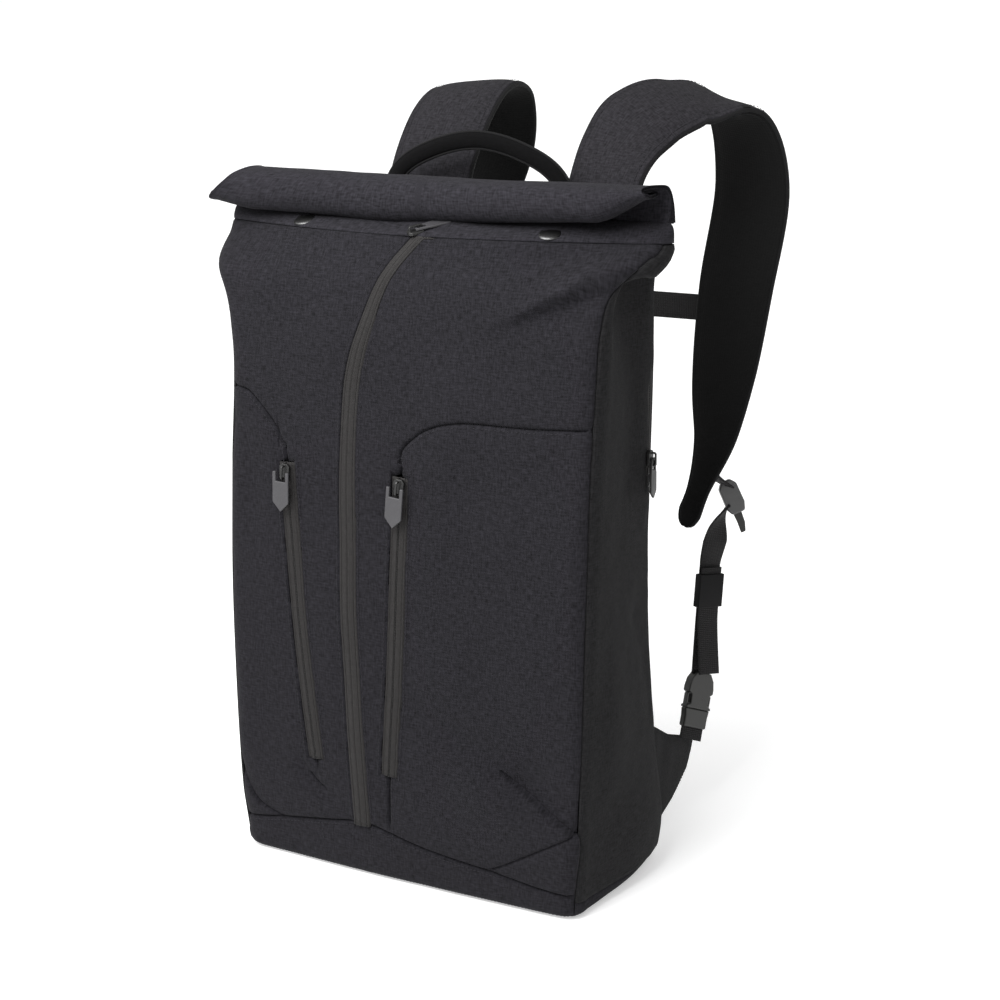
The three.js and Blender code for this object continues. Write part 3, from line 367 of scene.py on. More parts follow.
# around is 0 at the middle of the front, 1 and 2 at the right seams, 3 at the middle of the
# back and negative on the left; height is above the floor.
def bareBag(around, height):
    around, height = np.broadcast_arrays(np.asarray(around, float), np.asarray(height, float))
    around = np.where(around > 3, around - 6, around)
    side = np.abs(around)
    low = np.maximum(height, bagShape["baseRadius"])
    wide = halfWidth * np.where(around < 0, sectionValue("left", low), sectionValue("right", low))
    back = halfWidth * sectionValue("back", low)
    front, rear = -halfDepth * sectionValue("front", low), halfDepth * sectionValue("rear", low)
    radius = np.minimum(bagShape["cornerRadius"], (rear - front) * 0.3)
    bow, rearBow = halfDepth * sectionValue("bow", low), halfDepth * sectionValue("rearBow", low)
    endX, endY = wide - radius, front - bow * 0.12
    share = np.minimum(side / 0.9, 1)
    frontX, frontY = share * endX, front - bow * (1 - 0.88 * share ** 2)
    t = np.clip((side - 0.9) / 0.2, 0, 1)
    cornerX, cornerY = bezier(endX, wide, wide, t), bezier(endY, front, front + radius, t)
    t = np.clip((side - 1.1) / 0.8, 0, 1)
    middle = (wide + back) / 2 - halfWidth * sectionValue("tuck", low) * 2
    sideX = bezier(wide, middle, back, t)
    sideY = bezier(front + radius, (front + rear) / 2, rear - radius, t)
    t = np.clip((side - 1.9) / 0.2, 0, 1)
    rearX, rearY = bezier(back, back, back - radius, t), bezier(rear - radius, rear, rear, t)
    share = np.clip((3 - side) / 0.9, 0, 1)
    backX, backY = share * (back - radius), rear + rearBow * (1 - share ** 2)
    zones = [side < 0.9, side < 1.1, side < 1.9, side < 2.1]
    x = np.select(zones, [frontX, cornerX, sideX, rearX], backX)
    y = np.select(zones, [frontY, cornerY, sideY, rearY], backY)
    turn = np.arccos(np.clip(1 - np.maximum(height, 0) / bagShape["baseRadius"], -1, 1))
    inset = np.where(height < bagShape["baseRadius"], bagShape["baseRadius"] * (1 - np.sin(turn)), 0)
    z = np.where(height < bagShape["baseRadius"], bagShape["baseRadius"] * (1 - np.cos(turn)), height)
    x, y = x * (1 - inset / halfWidth), y * (1 - inset / halfDepth)
    return np.stack([np.where(around < 0, -x, x), y, z], axis=-1)


def bagNormal(around, height):
    step = 0.01
    along = bareBag(around + step, height) - bareBag(around - step, height)
    up = bareBag(around, height + 0.5) - bareBag(around, height - 0.5)
    normal = np.cross(along, up)
    return normal / np.maximum(np.linalg.norm(normal, axis=-1, keepdims=True), 1e-9)


def aroundAt(x, height):
    x = np.asarray(x, float)
    wide = halfWidth * np.where(x < 0, sectionValue("left", height), sectionValue("right", height))
    return np.clip(0.9 * x / (wide - bagShape["cornerRadius"]), -1, 1)


# ---- seams and zips on the front: x in shares of half the width, z in shares of the height
def route(rows, count):
    rows = np.asarray(rows, float)
    place = np.linspace(0, len(rows) - 1, count)
    return np.stack([smoothColumn(rows[:, 0], place) * halfWidth, smoothColumn(rows[:, 1], place) * bagHeight], axis=1)


leftZipRows = [(-0.497, 0.182), (-0.574, 0.406), (-0.625, 0.655)]
rightZipRows = [(-0.065, 0.18), (-0.02, 0.402), (0.02, 0.655)]
mainZip = route([(-0.226, 0.02), (-0.236, 0.13), (-0.272, 0.36), (-0.277, 0.53), (-0.252, 0.76), (-0.148, 0.887),
                 (-0.052, 0.954), (0.13, 1.02)], 80)
leftZip, rightZip = route(leftZipRows, 50), route(rightZipRows, 50)
leftSeam = route([(-0.44, 0.02), *leftZipRows, (-0.65, 0.685), (-0.71, 0.717), (-0.826, 0.754), (-0.93, 0.762), (-1.2, 0.766)], 90)
rightSeam = route([(-0.065, 0.02), *rightZipRows, (0.016, 0.675), (0.03, 0.695), (0.085, 0.713), (0.16, 0.729),
                   (0.26, 0.74), (0.387, 0.745), (0.69, 0.746),
                   (1.2, 0.756)], 110)
baseSeam = route([(-1.2, 0.05), (-0.96, 0.053), (-0.74, 0.065), (-0.43, 0.081), (-0.22, 0.089), (-0.08, 0.083), (0.15, 0.067),
                  (0.43, 0.057), (0.75, 0.043), (1.2, 0.032)], 90)


# The main zip is held narrower where it curves away below the roll.
def zipShare(height):
    return np.interp(height, [300, 400, 450, 500], [1, 0.9, 0.68, 0.5])


zips = {"main": mainZip, "left": leftZip, "right": rightZip}
zipSettings = {"width": 14.5, "sunk": 1.0, "lip": 0.7}


def offsetLine(line, distance):
    along = np.gradient(line, axis=0)
    along /= np.linalg.norm(along, axis=1, keepdims=True)
    return line + np.stack([-along[:, 1], along[:, 0]], axis=1) * np.reshape(distance, (-1, 1))


# Sewn darts and creases of the front, in millimetres: a groove of that width and depth.
frontLines = [
    {"line": [(145, 73), (117, 55), (94, 40), (77, 30)], "width": 1.0, "depth": 2.2, "fade": 0},
    {"line": [(147, 72), (122, 87), (100, 101), (84, 112)], "width": 1.2, "depth": 3.0, "fade": 0, "step": 5.0, "reach": 24},
    {"line": [(-152, 64), (-140, 48), (-130, 40), (-112, 34)], "width": 1.0, "depth": 2.4, "fade": 0, "step": -1.6, "reach": 16},
    {"line": [(-84, 80), (-80, 75), (-67, 66)], "width": 1.2, "depth": 3.2, "fade": 1, "step": 2.6, "reach": 10},
    {"line": [(-104, 368), (-104, 352), (-103, 340)], "width": 0.8, "depth": 1.4, "fade": 1},
]
for row in frontLines:
    row["line"] = route([(x / halfWidth, z / bagHeight) for x, z in row["line"]], 30)

# Soft folds: how far they stand out, and how quickly they fall off to the left and the right.
frontFolds = [
    {"line": [(100, 101), (70, 124), (45, 137), (15, 144)], "height": -3.4, "left": 12, "right": 20},
    {"line": [(120, 100), (90, 140), (70, 190)], "height": -1.8, "left": 26, "right": 26},
    {"line": [(140, 60), (105, 66), (70, 92)], "height": 3.0, "left": 22, "right": 22},
    {"line": [(-84, 84), (-60, 62), (-50, 50)], "height": -1.6, "left": 8, "right": 14},
    {"line": [(-150, 64), (-128, 84), (-118, 120)], "height": -1.5, "left": 16, "right": 24},
    {"line": [(-30, 470), (20, 440), (80, 428)], "height": -2.0, "left": 26, "right": 26},
    {"line": [(60, 470), (95, 452), (120, 440)], "height": 2.2, "left": 20, "right": 20},
    {"line": [(40, 380), (30, 340), (34, 290)], "height": 1.6, "left": 16, "right": 26},
    {"line": [(130, 360), (100, 330), (60, 322)], "height": -1.3, "left": 18, "right": 22},
    {"line": [(-120, 436), (-100, 420), (-60, 424)], "height": 1.2, "left": 20, "right": 24},
    {"line": [(-140, 360), (-128, 330), (-130, 290)], "height": -1.8, "left": 12, "right": 16},
    {"line": [(-100, 480), (-120, 462), (-150, 452)], "height": 1.0, "left": 18, "right": 22},
]
cornerRidge = [(0.42, 446), (0.58, 455), (0.71, 466), (0.87, 478), (1.0, 486), (1.3, 490), (1.6, 492), (2.0, 494)]


# The fold that hangs over from the top corner, on the front and the side.
def overhang(around, height, full):
    side = np.abs(around)
    line = np.interp(side, [row[0] for row in cornerRidge], [row[1] for row in cornerRidge]) - np.where(around < 0, 6, 0)
    above = height - line
    upper = np.exp(-(np.maximum(above, 0) / 24) ** 2)
    edge = np.exp(-(np.minimum(above, 0) / np.where(around < 0, 15, 3.2)) ** 2)
    hollow = -0.45 * (1 - edge) * np.exp(-(np.minimum(above, 0) / 30) ** 2)
    strength = full * smoothstep(0.4, 0.92, side) * (1 - smoothstep(1.75, 2.0, side))
    return strength * np.where(above > 0, upper, edge + hollow)


def foldHeight(points):
    total = 0.55 * ripple(points[:, 0], points[:, 1] * 0.8, 90, 5) + 0.16 * ripple(points[:, 0], points[:, 1], 26, 8)
    for fold in frontFolds:
        distance, share, side = lineDistance(points, fold["line"])
        reach = np.where(side > 0, fold["left"], fold["right"])
        total = total + fold["height"] * np.exp(-(distance / reach) ** 2)
    return total


def frontRelief(points):
    total = foldHeight(points)
    for seam, foot in ((leftSeam, 90), (rightSeam, 44), (baseSeam, 0)):
        distance = lineDistance(points, seam[seam[:, 1] >= foot])[0]
        total = total - 2.4 * np.exp(-(distance / 1.05) ** 2) - 0.9 * np.exp(-(distance / 7) ** 2)
    for row in frontLines:
        distance, share, side = lineDistance(points, row["line"])
        fade = 1 - row["fade"] * np.abs(2 * share - 1) ** 2
        total = total - fade * (row["depth"] * np.exp(-(distance / row["width"]) ** 2) + 0.5 * np.exp(-(distance / 6) ** 2))
        rise = row.get("step", 0) * side * (1 - np.exp(-(distance / 1.4) ** 2)) * np.exp(-(distance / row.get("reach", 9)) ** 2)
        total = total + 0.5 * rise * smoothstep(1.0, 0.7, share) 
    for line in zips.values():
        distance, share, side = lineDistance(points, line[line[:, 1] > 40])
        edge = distance - zipSettings["width"] / 2 * zipShare(points[:, 1])
        total = total + zipSettings["lip"] * np.exp(-((edge - 1.3) / 1.1) ** 2) - 0.7 * np.exp(-(np.minimum(edge, 0) - edge) ** 2 / 60)
        total = total - np.where(edge < 0, 0, 1.1 * np.exp(-(edge / 0.5) ** 2))
    return total


def seamEdges(around, height):
    nearest = np.abs(around - np.round(around)) * 140
    nearest = np.where(np.abs(np.round(around)) % 3 == 0, 99, nearest)
    top = bagHeight - height
    return -1.1 * np.exp(-(nearest / 0.9) ** 2) - 0.6 * np.exp(-(nearest / 6) ** 2) - 1.2 * np.exp(-(top / 1.2) ** 2)


# ---- front: one mesh over all of it, split along its seams
frontSettings = {"step": 3.1, "clear": 2.2, "wall": 1.4}


def addFront():
    lines, edges, points = [], [], []

    def addLine(line, closedEnds=True):
        line = np.asarray(line, float)
        keep = (np.abs(line[:, 0]) < 200) & (line[:, 1] >= 0) & (line[:, 1] <= bagHeight)
        first = None
        for (x, z), kept in zip(line, keep):
            around = float(aroundAt(x, z))
            if not kept or abs(around) >= 0.999:
                first = None
                continue
            points.append((around * halfWidth, z))
            if first is not None:
                edges.append((first, len(points) - 1))
            first = len(points) - 1

    half = zipSettings["width"] / 2
    for seam in (leftSeam, rightSeam, baseSeam):
        for distance in (-2.4, -1.2, -0.5, 0, 0.5, 1.2, 2.4):
            addLine(offsetLine(seam, distance))
        lines.append(seam)
    for name, line in zips.items():
        for distance in (-half - 2.4, -half - 1.1, -half - 0.4, -half, half, half + 0.4, half + 1.1, half + 2.4):
            addLine(offsetLine(line, distance * zipShare(line[:, 1])))
        lines.append(line)
    for row in frontLines:
        for distance in (-1.8, -1.1, -0.5, 0, 0.5, 1.1, 1.8):
            addLine(offsetLine(row["line"], distance))
        lines.append(row["line"])
    step = frontSettings["step"]
    columns = int(2 * halfWidth / step)
    heights = np.concatenate([[0, 1.2, 3], np.arange(5.5, bagHeight - 4, step * 0.87), [bagHeight - 2.6, bagHeight - 1.2, bagHeight]])
    field = []
    for i, z in enumerate(heights):
        shift = 0.5 * (i % 2)
        inner = [-1 + 2 * (column + shift) / columns for column in range(columns + 1)]
        field += [(share * halfWidth, z) for share in inner if abs(share) < 0.985]
        field += [(share * halfWidth, z) for share in (-1, -0.995, -0.99, 0.99, 0.995, 1)]
    field = np.array(field)
    wide = np.where(field[:, 0] < 0, sectionValue("left", field[:, 1]), sectionValue("right", field[:, 1]))
    places = np.stack([field[:, 0] / 0.9 * (wide - bagShape["cornerRadius"] / halfWidth), field[:, 1]], axis=1)
    near = np.full(len(field), 1e9)
    for line in lines:
        near = np.minimum(near, lineDistance(places, line)[0])
    for line in zips.values():
        gap = np.abs(lineDistance(places, line)[0] - half * zipShare(places[:, 1]))
        near = np.minimum(near, np.where(gap < 3.2, gap, near))
    border = (np.abs(field[:, 0]) > 0.97 * halfWidth) | (field[:, 1] < 4) | (field[:, 1] > bagHeight - 3)
    field = field[(near > frontSettings["clear"]) | (border & (near > 0.7))]
    vertices = [Vector(point) for point in points] + [Vector(point) for point in field.tolist()]
    placed, edgesOut, faces, *rest = delaunay_2d_cdt(vertices, edges, [], 0, 1e-3)
    flat = np.array([tuple(vertex) for vertex in placed])
    around, height = flat[:, 0] / halfWidth, flat[:, 1]
    bare = bareBag(around, height)
    places = np.stack([bare[:, 0], height], axis=1)
    relief = frontRelief(places) + seamEdges(around, height)
    relief = relief + overhang(around, height, np.where(around > 0, 9.0, 3.5))
    relief = relief * smoothstep(-1, 8, height)
    shaped = bare + bagNormal(around, np.maximum(height, 1)) * relief[:, None]
    triangles = np.array([face for face in faces if len(face) == 3])
    middle = places[triangles].mean(axis=1)
    inZip = {}
    for name, line in zips.items():
        distance, share, side = lineDistance(middle, line)
        inZip[name] = (distance < half * zipShare(middle[:, 1])) & (share > 0.002) & (share < 0.998)
    anyZip = inZip["main"] | inZip["left"] | inZip["right"]
    under = middle[:, 1] < np.interp(middle[:, 0], baseSeam[:, 0], baseSeam[:, 1])
    leftOfMain = middle[:, 0] < np.interp(middle[:, 1], mainZip[:, 1], mainZip[:, 0])
    leftPocket = leftOfMain & (middle[:, 1] < leftSeam[-1, 1]) & (middle[:, 0] < np.interp(middle[:, 1], leftSeam[:, 1], leftSeam[:, 0]))
    rightPocket = ~leftOfMain & (middle[:, 1] < rightSeam[-1, 1]) & (middle[:, 0] > np.interp(middle[:, 1], rightSeam[:, 1], rightSeam[:, 0]))
    regions = {
        "front_panel_left": leftOfMain & ~leftPocket & ~under & ~anyZip,
        "front_panel_right": ~leftOfMain & ~rightPocket & ~under & ~anyZip,
        "pocket_panel_left": leftPocket & ~under & ~anyZip,
        "pocket_panel_right": rightPocket & ~under & ~anyZip,
        "base_skirt": under,
    }
    made = {}
    for name, chosen in regions.items():
        kept = triangles[chosen]
        used, renumbered = np.unique(kept, return_inverse=True)
        uv = np.stack([places[used, 0], places[used, 1]], axis=1)
        piece = makePiece(name + "_cloth", shaped[used], renumbered.reshape(-1, 3).tolist(), uv,
                          "front")
        made[name] = piece
        if name != "base_skirt":
            addWall(piece, frontSettings["wall"])
            fixPiece(piece, [name])
    print("front:", len(triangles), "triangles")
    return made


def surfacePoint(x, height, lift=0.0):
    x, height = np.atleast_1d(x).astype(float), np.atleast_1d(height).astype(float)
    around = aroundAt(x, height)
    relief = frontRelief(np.stack([x, height], axis=1)) + overhang(around, height, np.where(around > 0, 9.0, 3.5))
    return bareBag(around, height) + bagNormal(around, height) * (relief + lift)[:, None]


frontPieces = addFront()


# ---- stitches by Geometry Nodes: a short rounded stitch on each point of a resampled line
def stitchTree(name):
    tree = bpy.data.node_groups.new(name, "GeometryNodeTree")
    graph = Graph(tree)
    for label, kind in (("Lines", "NodeSocketGeometry"), ("Spacing", "NodeSocketFloat"), ("Length", "NodeSocketFloat"),
                        ("Thickness", "NodeSocketFloat"), ("Finish", "NodeSocketMaterial")):
        tree.interface.new_socket(label, in_out="INPUT", socket_type=kind)
    tree.interface.new_socket("Geometry", in_out="OUTPUT", socket_type="NodeSocketGeometry")
    given = graph.add("NodeGroupInput")
    outward = graph.add("GeometryNodeInputNamedAttribute", {"data_type": "FLOAT_VECTOR"}, {"Name": "outward"})
    curve = graph.add("GeometryNodeMeshToCurve", None, {"Mesh": given})
    even = graph.add("GeometryNodeResampleCurve", {"mode": "LENGTH"}, {"Curve": curve, "Length": graph.outlet(given, "Spacing")})
    tangent = graph.add("GeometryNodeInputTangent")
    turn = graph.add("FunctionNodeAxesToRotation", {"primary_axis": "X", "secondary_axis": "Z"},
                     {"Primary Axis": tangent, "Secondary Axis": outward})
    bead = graph.add("GeometryNodeMeshUVSphere", None, {"Segments": 6, "Rings": 5, "Radius": 0.5})
    thick = graph.outlet(given, "Thickness")
    size = graph.add("ShaderNodeCombineXYZ", None, {0: graph.outlet(given, "Length"), 1: thick, 2: thick})
    placed = graph.add("GeometryNodeInstanceOnPoints", None, {"Points": even, "Instance": bead, "Rotation": turn, "Scale": size})
    real = graph.add("GeometryNodeRealizeInstances", None, {"Geometry": placed})
    smooth = graph.add("GeometryNodeSetShadeSmooth", None, {"Geometry": real})
    done = graph.add("GeometryNodeSetMaterial", None, {"Geometry": smooth, "Material": graph.outlet(given, "Finish")})
    graph.add("NodeGroupOutput", None, {"Geometry": done})
    return tree


def runTree(name, source, tree, values):
    modifier = source.modifiers.new("tree", "NODES")
    modifier.node_group = tree
    for socket in tree.interface.items_tree:
        if socket.in_out == "INPUT" and socket.name in values:
            modifier[socket.identifier] = values[socket.name]
    bpy.context.view_layer.update()
    evaluated = source.evaluated_get(bpy.context.evaluated_depsgraph_get())
    mesh = bpy.data.meshes.new_from_object(evaluated)
    mesh.name = name
    source.modifiers.remove(modifier)
    piece = bpy.data.objects.new(name, mesh)
    bpy.context.scene.collection.objects.link(piece)
    bpy.data.objects.remove(source)
    return piece


def linesSource(name, lines, outwards):
    points = np.concatenate(lines)
    edges, first = [], 0
    for line in lines:
        edges += [(first + i, first + i + 1) for i in range(len(line) - 1)]
        first += len(line)
    mesh = bpy.data.meshes.new(name)
    mesh.from_pydata((points * millimetre).tolist(), edges, [])
    attribute = mesh.attributes.new("outward", "FLOAT_VECTOR", "POINT")
    attribute.data.foreach_set("vector", np.concatenate(outwards).astype(np.float32).ravel())
    source = bpy.data.objects.new(name, mesh)
    bpy.context.scene.collection.objects.link(source)
    return source


stitching = {"spacing": 3.3, "length": 2.5, "thickness": 0.5}
stitches = stitchTree("stitches")


def addStitches(name, lines, outwards, finish="thread", carrier=body, spacing=None, length=None, thickness=None):
    source = linesSource(name + "_lines", lines, outwards)
    piece = runTree(name, source, stitches, {
        "Spacing": (spacing or stitching["spacing"]) * millimetre, "Length": (length or stitching["length"]) * millimetre,
        "Thickness": (thickness or stitching["thickness"]) * millimetre, "Finish": materials[finish]})
    return fixPiece(piece, (), carrier)


def frontLine(line, distance, lift, low=0, high=bagHeight - 3):
    moved = offsetLine(np.asarray(line, float), distance)
    edge = halfWidth * 0.93
    moved = moved[(moved[:, 1] > low) & (moved[:, 1] < high) & (np.abs(moved[:, 0]) < edge)]
    around = aroundAt(moved[:, 0], moved[:, 1])
    return surfacePoint(moved[:, 0], moved[:, 1], lift), bagNormal(around, moved[:, 1])


def addFrontStitches():
    half = zipSettings["width"] / 2
    seamAt = np.interp(0, [0, 1], [0, 1])
    rows = [(leftSeam, 2.6), (rightSeam, -2.6), (baseSeam, -2.6), (mainZip, half + 2.1), (mainZip, -half - 2.1),
            (leftZip, half + 2.1), (leftZip, -half - 2.1), (rightZip, half + 2.1), (rightZip, -half - 2.1)]
    made = [frontLine(line, distance, 0.12, low=24 + seamAt) for line, distance in rows]
    addStitches("front_stitches", [row[0] for row in made], [row[1] for row in made])


addFrontStitches()
print("stitches on the front")


# ---- zips: two tape halves that meet at a dark line over the coil, with a stitched edge
zipTape = {"thick": 0.9, "gap": 0.5, "ridge": 0.8}


def addZip(name, line, nodes, surface, normalOf, low, high):
    half = zipSettings["width"] / 2
    keep = (line[:, 1] >= low) & (line[:, 1] <= high)
    line = line[keep]
    right = np.array([0.3, 0.7, 1.2, 2.0, 3.0, half - 3.0, half - 2.5, half - 2.2, half - 1.9, half - 1.4, half - 0.8, half, half + 0.6])
    offsets = np.concatenate([-right[::-1], [0], right])
    size = np.abs(offsets)
    relief = (-zipSettings["sunk"] + zipTape["ridge"] * np.exp(-(size / 3.4) ** 2) - 2.0 * np.exp(-(size / 0.5) ** 2)
              - 0.6 * np.exp(-((size - half + 2.2) / 0.3) ** 2) - 1.3 * smoothstep(half - 0.9, half, size))
    columns = []
    for distance, lift in zip(offsets, relief):
        columns.append(surface(offsetLine(line, distance * zipShare(line[:, 1])), lift))

    points = np.stack(columns, axis=1)
    piece = gridPiece(name, points, "tape")
    recalculate(piece.data)
    addWall(piece, zipTape["thick"])
    fixPiece(piece, nodes)
    centre = surface(line, -zipSettings["sunk"] + 0.1)
    addStitches(name + "_coil", [centre], [normalOf(line)], "coil", spacing=1.3, length=0.9, thickness=0.9)
    return piece


def frontPlane(line, lift):
    line = np.minimum(line, (999, bagHeight - 0.3))
    around = aroundAt(line[:, 0], line[:, 1])
    soft = foldHeight(line) + overhang(around, line[:, 1], 9.0)
    return bareBag(around, line[:, 1]) + bagNormal(around, line[:, 1]) * (soft + lift)[:, None]


def frontOut(line):
    height = np.minimum(line[:, 1], bagHeight - 0.3)
    return bagNormal(aroundAt(line[:, 0], height), height)


zipFoot = float(np.interp(mainZip[0, 0], baseSeam[:, 0], baseSeam[:, 1]))
addZip("main_zip_tape", mainZip, ["main_zip"], frontPlane, frontOut, zipFoot - 3, bagHeight + 12)
addZip("pocket_zip_left_tape", leftZip, ["pocket_zip_left"], frontPlane, frontOut, 0, bagHeight)
addZip("pocket_zip_right_tape", rightZip, ["pocket_zip_right"], frontPlane, frontOut, 0, bagHeight)
print("zips on the front")


# ---- sides, back and base
def wallPoints(arounds, heights, relief):
    grid = np.meshgrid(arounds, heights)
    around, height = grid[0], grid[1]
    wrapped = np.where(around > 3, around - 6, around)
    return bareBag(wrapped, height) + bagNormal(wrapped, height) * relief(around, height)[..., None]


sideFolds = [
    {"line": [(1.2, 470), (1.5, 440), (1.62, 400), (1.6, 340)], "height": -3.0, "left": 20, "right": 26},
    {"line": [(1.85, 440), (1.8, 380), (1.84, 300)], "height": 2.0, "left": 14, "right": 16},
    {"line": [(1.7, 220), (1.86, 180), (1.9, 140)], "height": -2.2, "left": 14, "right": 12},
    {"line": [(1.3, 140), (1.5, 80), (1.8, 40)], "height": 2.2, "left": 26, "right": 30},
    {"line": [(1.2, 300), (1.32, 200), (1.25, 100)], "height": 1.2, "left": 18, "right": 18},
]


def sideRelief(around, height):
    side = np.abs(around)
    flat = np.stack([(side.ravel() - 1) * 130, height.ravel()], axis=1)
    total = 0.7 * ripple(flat[:, 0], flat[:, 1] * 0.7, 110, 12) + 0.2 * ripple(flat[:, 0], flat[:, 1], 30, 13)
    for fold in sideFolds:
        line = [((row[0] - 1) * 130, row[1]) for row in fold["line"]]
        distance, share, hand = lineDistance(flat, line)
        total = total + fold["height"] * np.exp(-(distance / np.where(hand > 0, fold["left"], fold["right"])) ** 2)
    total = total.reshape(side.shape) * smoothstep(1, 1.12, side) * (1 - smoothstep(1.9, 2, side))
    return total + sideFoot(around, height) + seamEdges(around, height) + overhang(around, height, np.where(around > 0, 9.0, 3.5))


def sideFoot(around, height):
    side = np.abs(around)
    return 7.0 * smoothstep(1.1, 1.6, side) * (1 - smoothstep(1.95, 2.3, side)) * smoothstep(-4, 14, height) * (1 - smoothstep(20, 110, height))


def edgeSteps(start, end, step, fine):
    inner = np.linspace(start + fine[-1], end - fine[-1], max(int((end - start) / step), 2))
    return np.concatenate([[start], start + np.array(fine[:-1]), inner, end - np.array(fine[:-1])[::-1], [end]])


def addWalls():
    heights = np.concatenate([np.arange(bagShape["baseSeam"], 500, 3.2), [501, 503, 504, 505]])
    arounds = edgeSteps(1, 2, 0.024, [0.004, 0.009, 0.018])
    for name, sign in (("right", 1), ("left", -1)):
        columns = arounds if sign > 0 else -arounds[::-1]
        piece = gridPiece(f"side_panel_{name}_cloth", wallPoints(columns, heights, sideRelief), "side")
        addWall(piece, 1.4)
        fixPiece(piece, [f"side_panel_{name}"])
    backColumns = edgeSteps(2, 4, 0.022, [0.004, 0.009, 0.018])
    piece = gridPiece("back_panel_pad", wallPoints(backColumns, heights, backRelief), "back")
    addWall(piece, 3)
    fixPiece(piece, ["back_panel"])


backPads = {"channel": 11, "depth": 4.2, "rows": [120, 215, 310], "inset": 128, "top": 470, "bottom": 40}


def backRelief(around, height):
    x = (3 - around) * 150
    channel = np.exp(-(x / backPads["channel"]) ** 2)
    for level in backPads["rows"]:
        slope = level - np.abs(x) * 0.12
        channel = np.maximum(channel, np.exp(-((height - slope) / 8) ** 2) * 0.85)
    border = np.maximum(np.abs(x) - backPads["inset"], 0) / 10
    rim = np.maximum(np.maximum(backPads["bottom"] - height, height - backPads["top"]), 0) / 12
    channel = np.maximum(channel, 1 - np.exp(-(border ** 2 + rim ** 2)))
    soft = 0.3 * ripple(x, height, 40, 21)
    wrapped = np.where(around > 3, around - 6, around)
    return -backPads["depth"] * channel + soft * (1 - channel) + seamEdges(around, height) * 0.6 + sideFoot(wrapped, height)


def addBase():
    heights = np.array([0, 1.2, 3, 5.5, 8, 10.5, 12.6, 13.6, 14])
    arounds = np.concatenate([edgeSteps(1, 2, 0.03, [0.005, 0.01, 0.02])[:-1], edgeSteps(2, 4, 0.03, [0.005, 0.01, 0.02])[:-1],
                              edgeSteps(4, 5, 0.03, [0.005, 0.01, 0.02])])
    def relief(around, height):
        top = bagShape["baseSeam"] - height
        seam = -1.0 * np.exp(-(top / 0.9) ** 2) + 0.3 * ripple(around * 130, height, 60, 31)
        wrapped = np.where(around > 3, around - 6, around)
        return (seam + sideFoot(wrapped, height)) * smoothstep(0, 8, height)
    band = wallPoints(arounds, heights, relief)
    ring = np.concatenate([band[0], bareBag(np.linspace(-1, 1, 61)[1:-1], np.zeros(59))])
    sole = [ring]
    for share in (0.85, 0.6, 0.3, 0.02):
        inner = ring * np.array([share, share, 1])
        sole.append(inner)
    sole = np.stack(sole)
    skirt = frontPieces["base_skirt"]
    walls = gridPiece("base_walls", band, "side")
    floor = gridPiece("base_sole", sole, "side", closeColumns=True)
    shape = bmesh.new()
    for piece in (skirt, walls, floor):
        shape.from_mesh(piece.data)
    for piece in (walls, floor):
        bpy.data.objects.remove(piece)
    skirt.name = "base_panel_cloth"
    bmesh.ops.remove_doubles(shape, verts=shape.verts, dist=0.0004)
    bmesh.ops.holes_fill(shape, edges=[edge for edge in shape.edges if edge.is_boundary and edge.verts[0].co.z < 0.002], sides=200)
    bmesh.ops.recalc_face_normals(shape, faces=shape.faces)
    shape.to_mesh(skirt.data)
    shape.free()
    skirt.data.polygons.foreach_set("use_smooth", [True] * len(skirt.data.polygons))
    addWall(skirt, 1.4)
    fixPiece(skirt, ["base_panel"])


addWalls()
addBase()
print("sides, back and base")


# ---- collar and roll
rollShape = {"width": 368, "shift": 3, "depth": 46, "height": 27, "middle": -16, "base": 517, "lift": 0.5, "half": 1.9, "fold": 5}
rollPath = [(0.43, 0.02, 3.2), (0.44, 0.5, 1), (0.36, 0.84, 1), (0.12, 0.93, 1), (-0.2, 0.92, 1), (-0.41, 0.75, 1), (-0.44, 0.38, 1),
            (-0.3, 0.1, 1), (-0.02, 0.07, 1), (0.19, 0.2, 1), (0.22, 0.5, 1), (0.05, 0.66, 1), (-0.16, 0.6, 1), (-0.22, 0.4, 1)]
# How far each end of the roll is drawn in along the path, in millimetres.
endDraw = {"left": [14, 18, 28, 32, 30, 22, 9, 0, 6, 12, 14, 16, 16, 16], "right": [3, 3, 5, 9, 12, 12, 9, 8, 9, 10, 12, 12, 12, 12]}


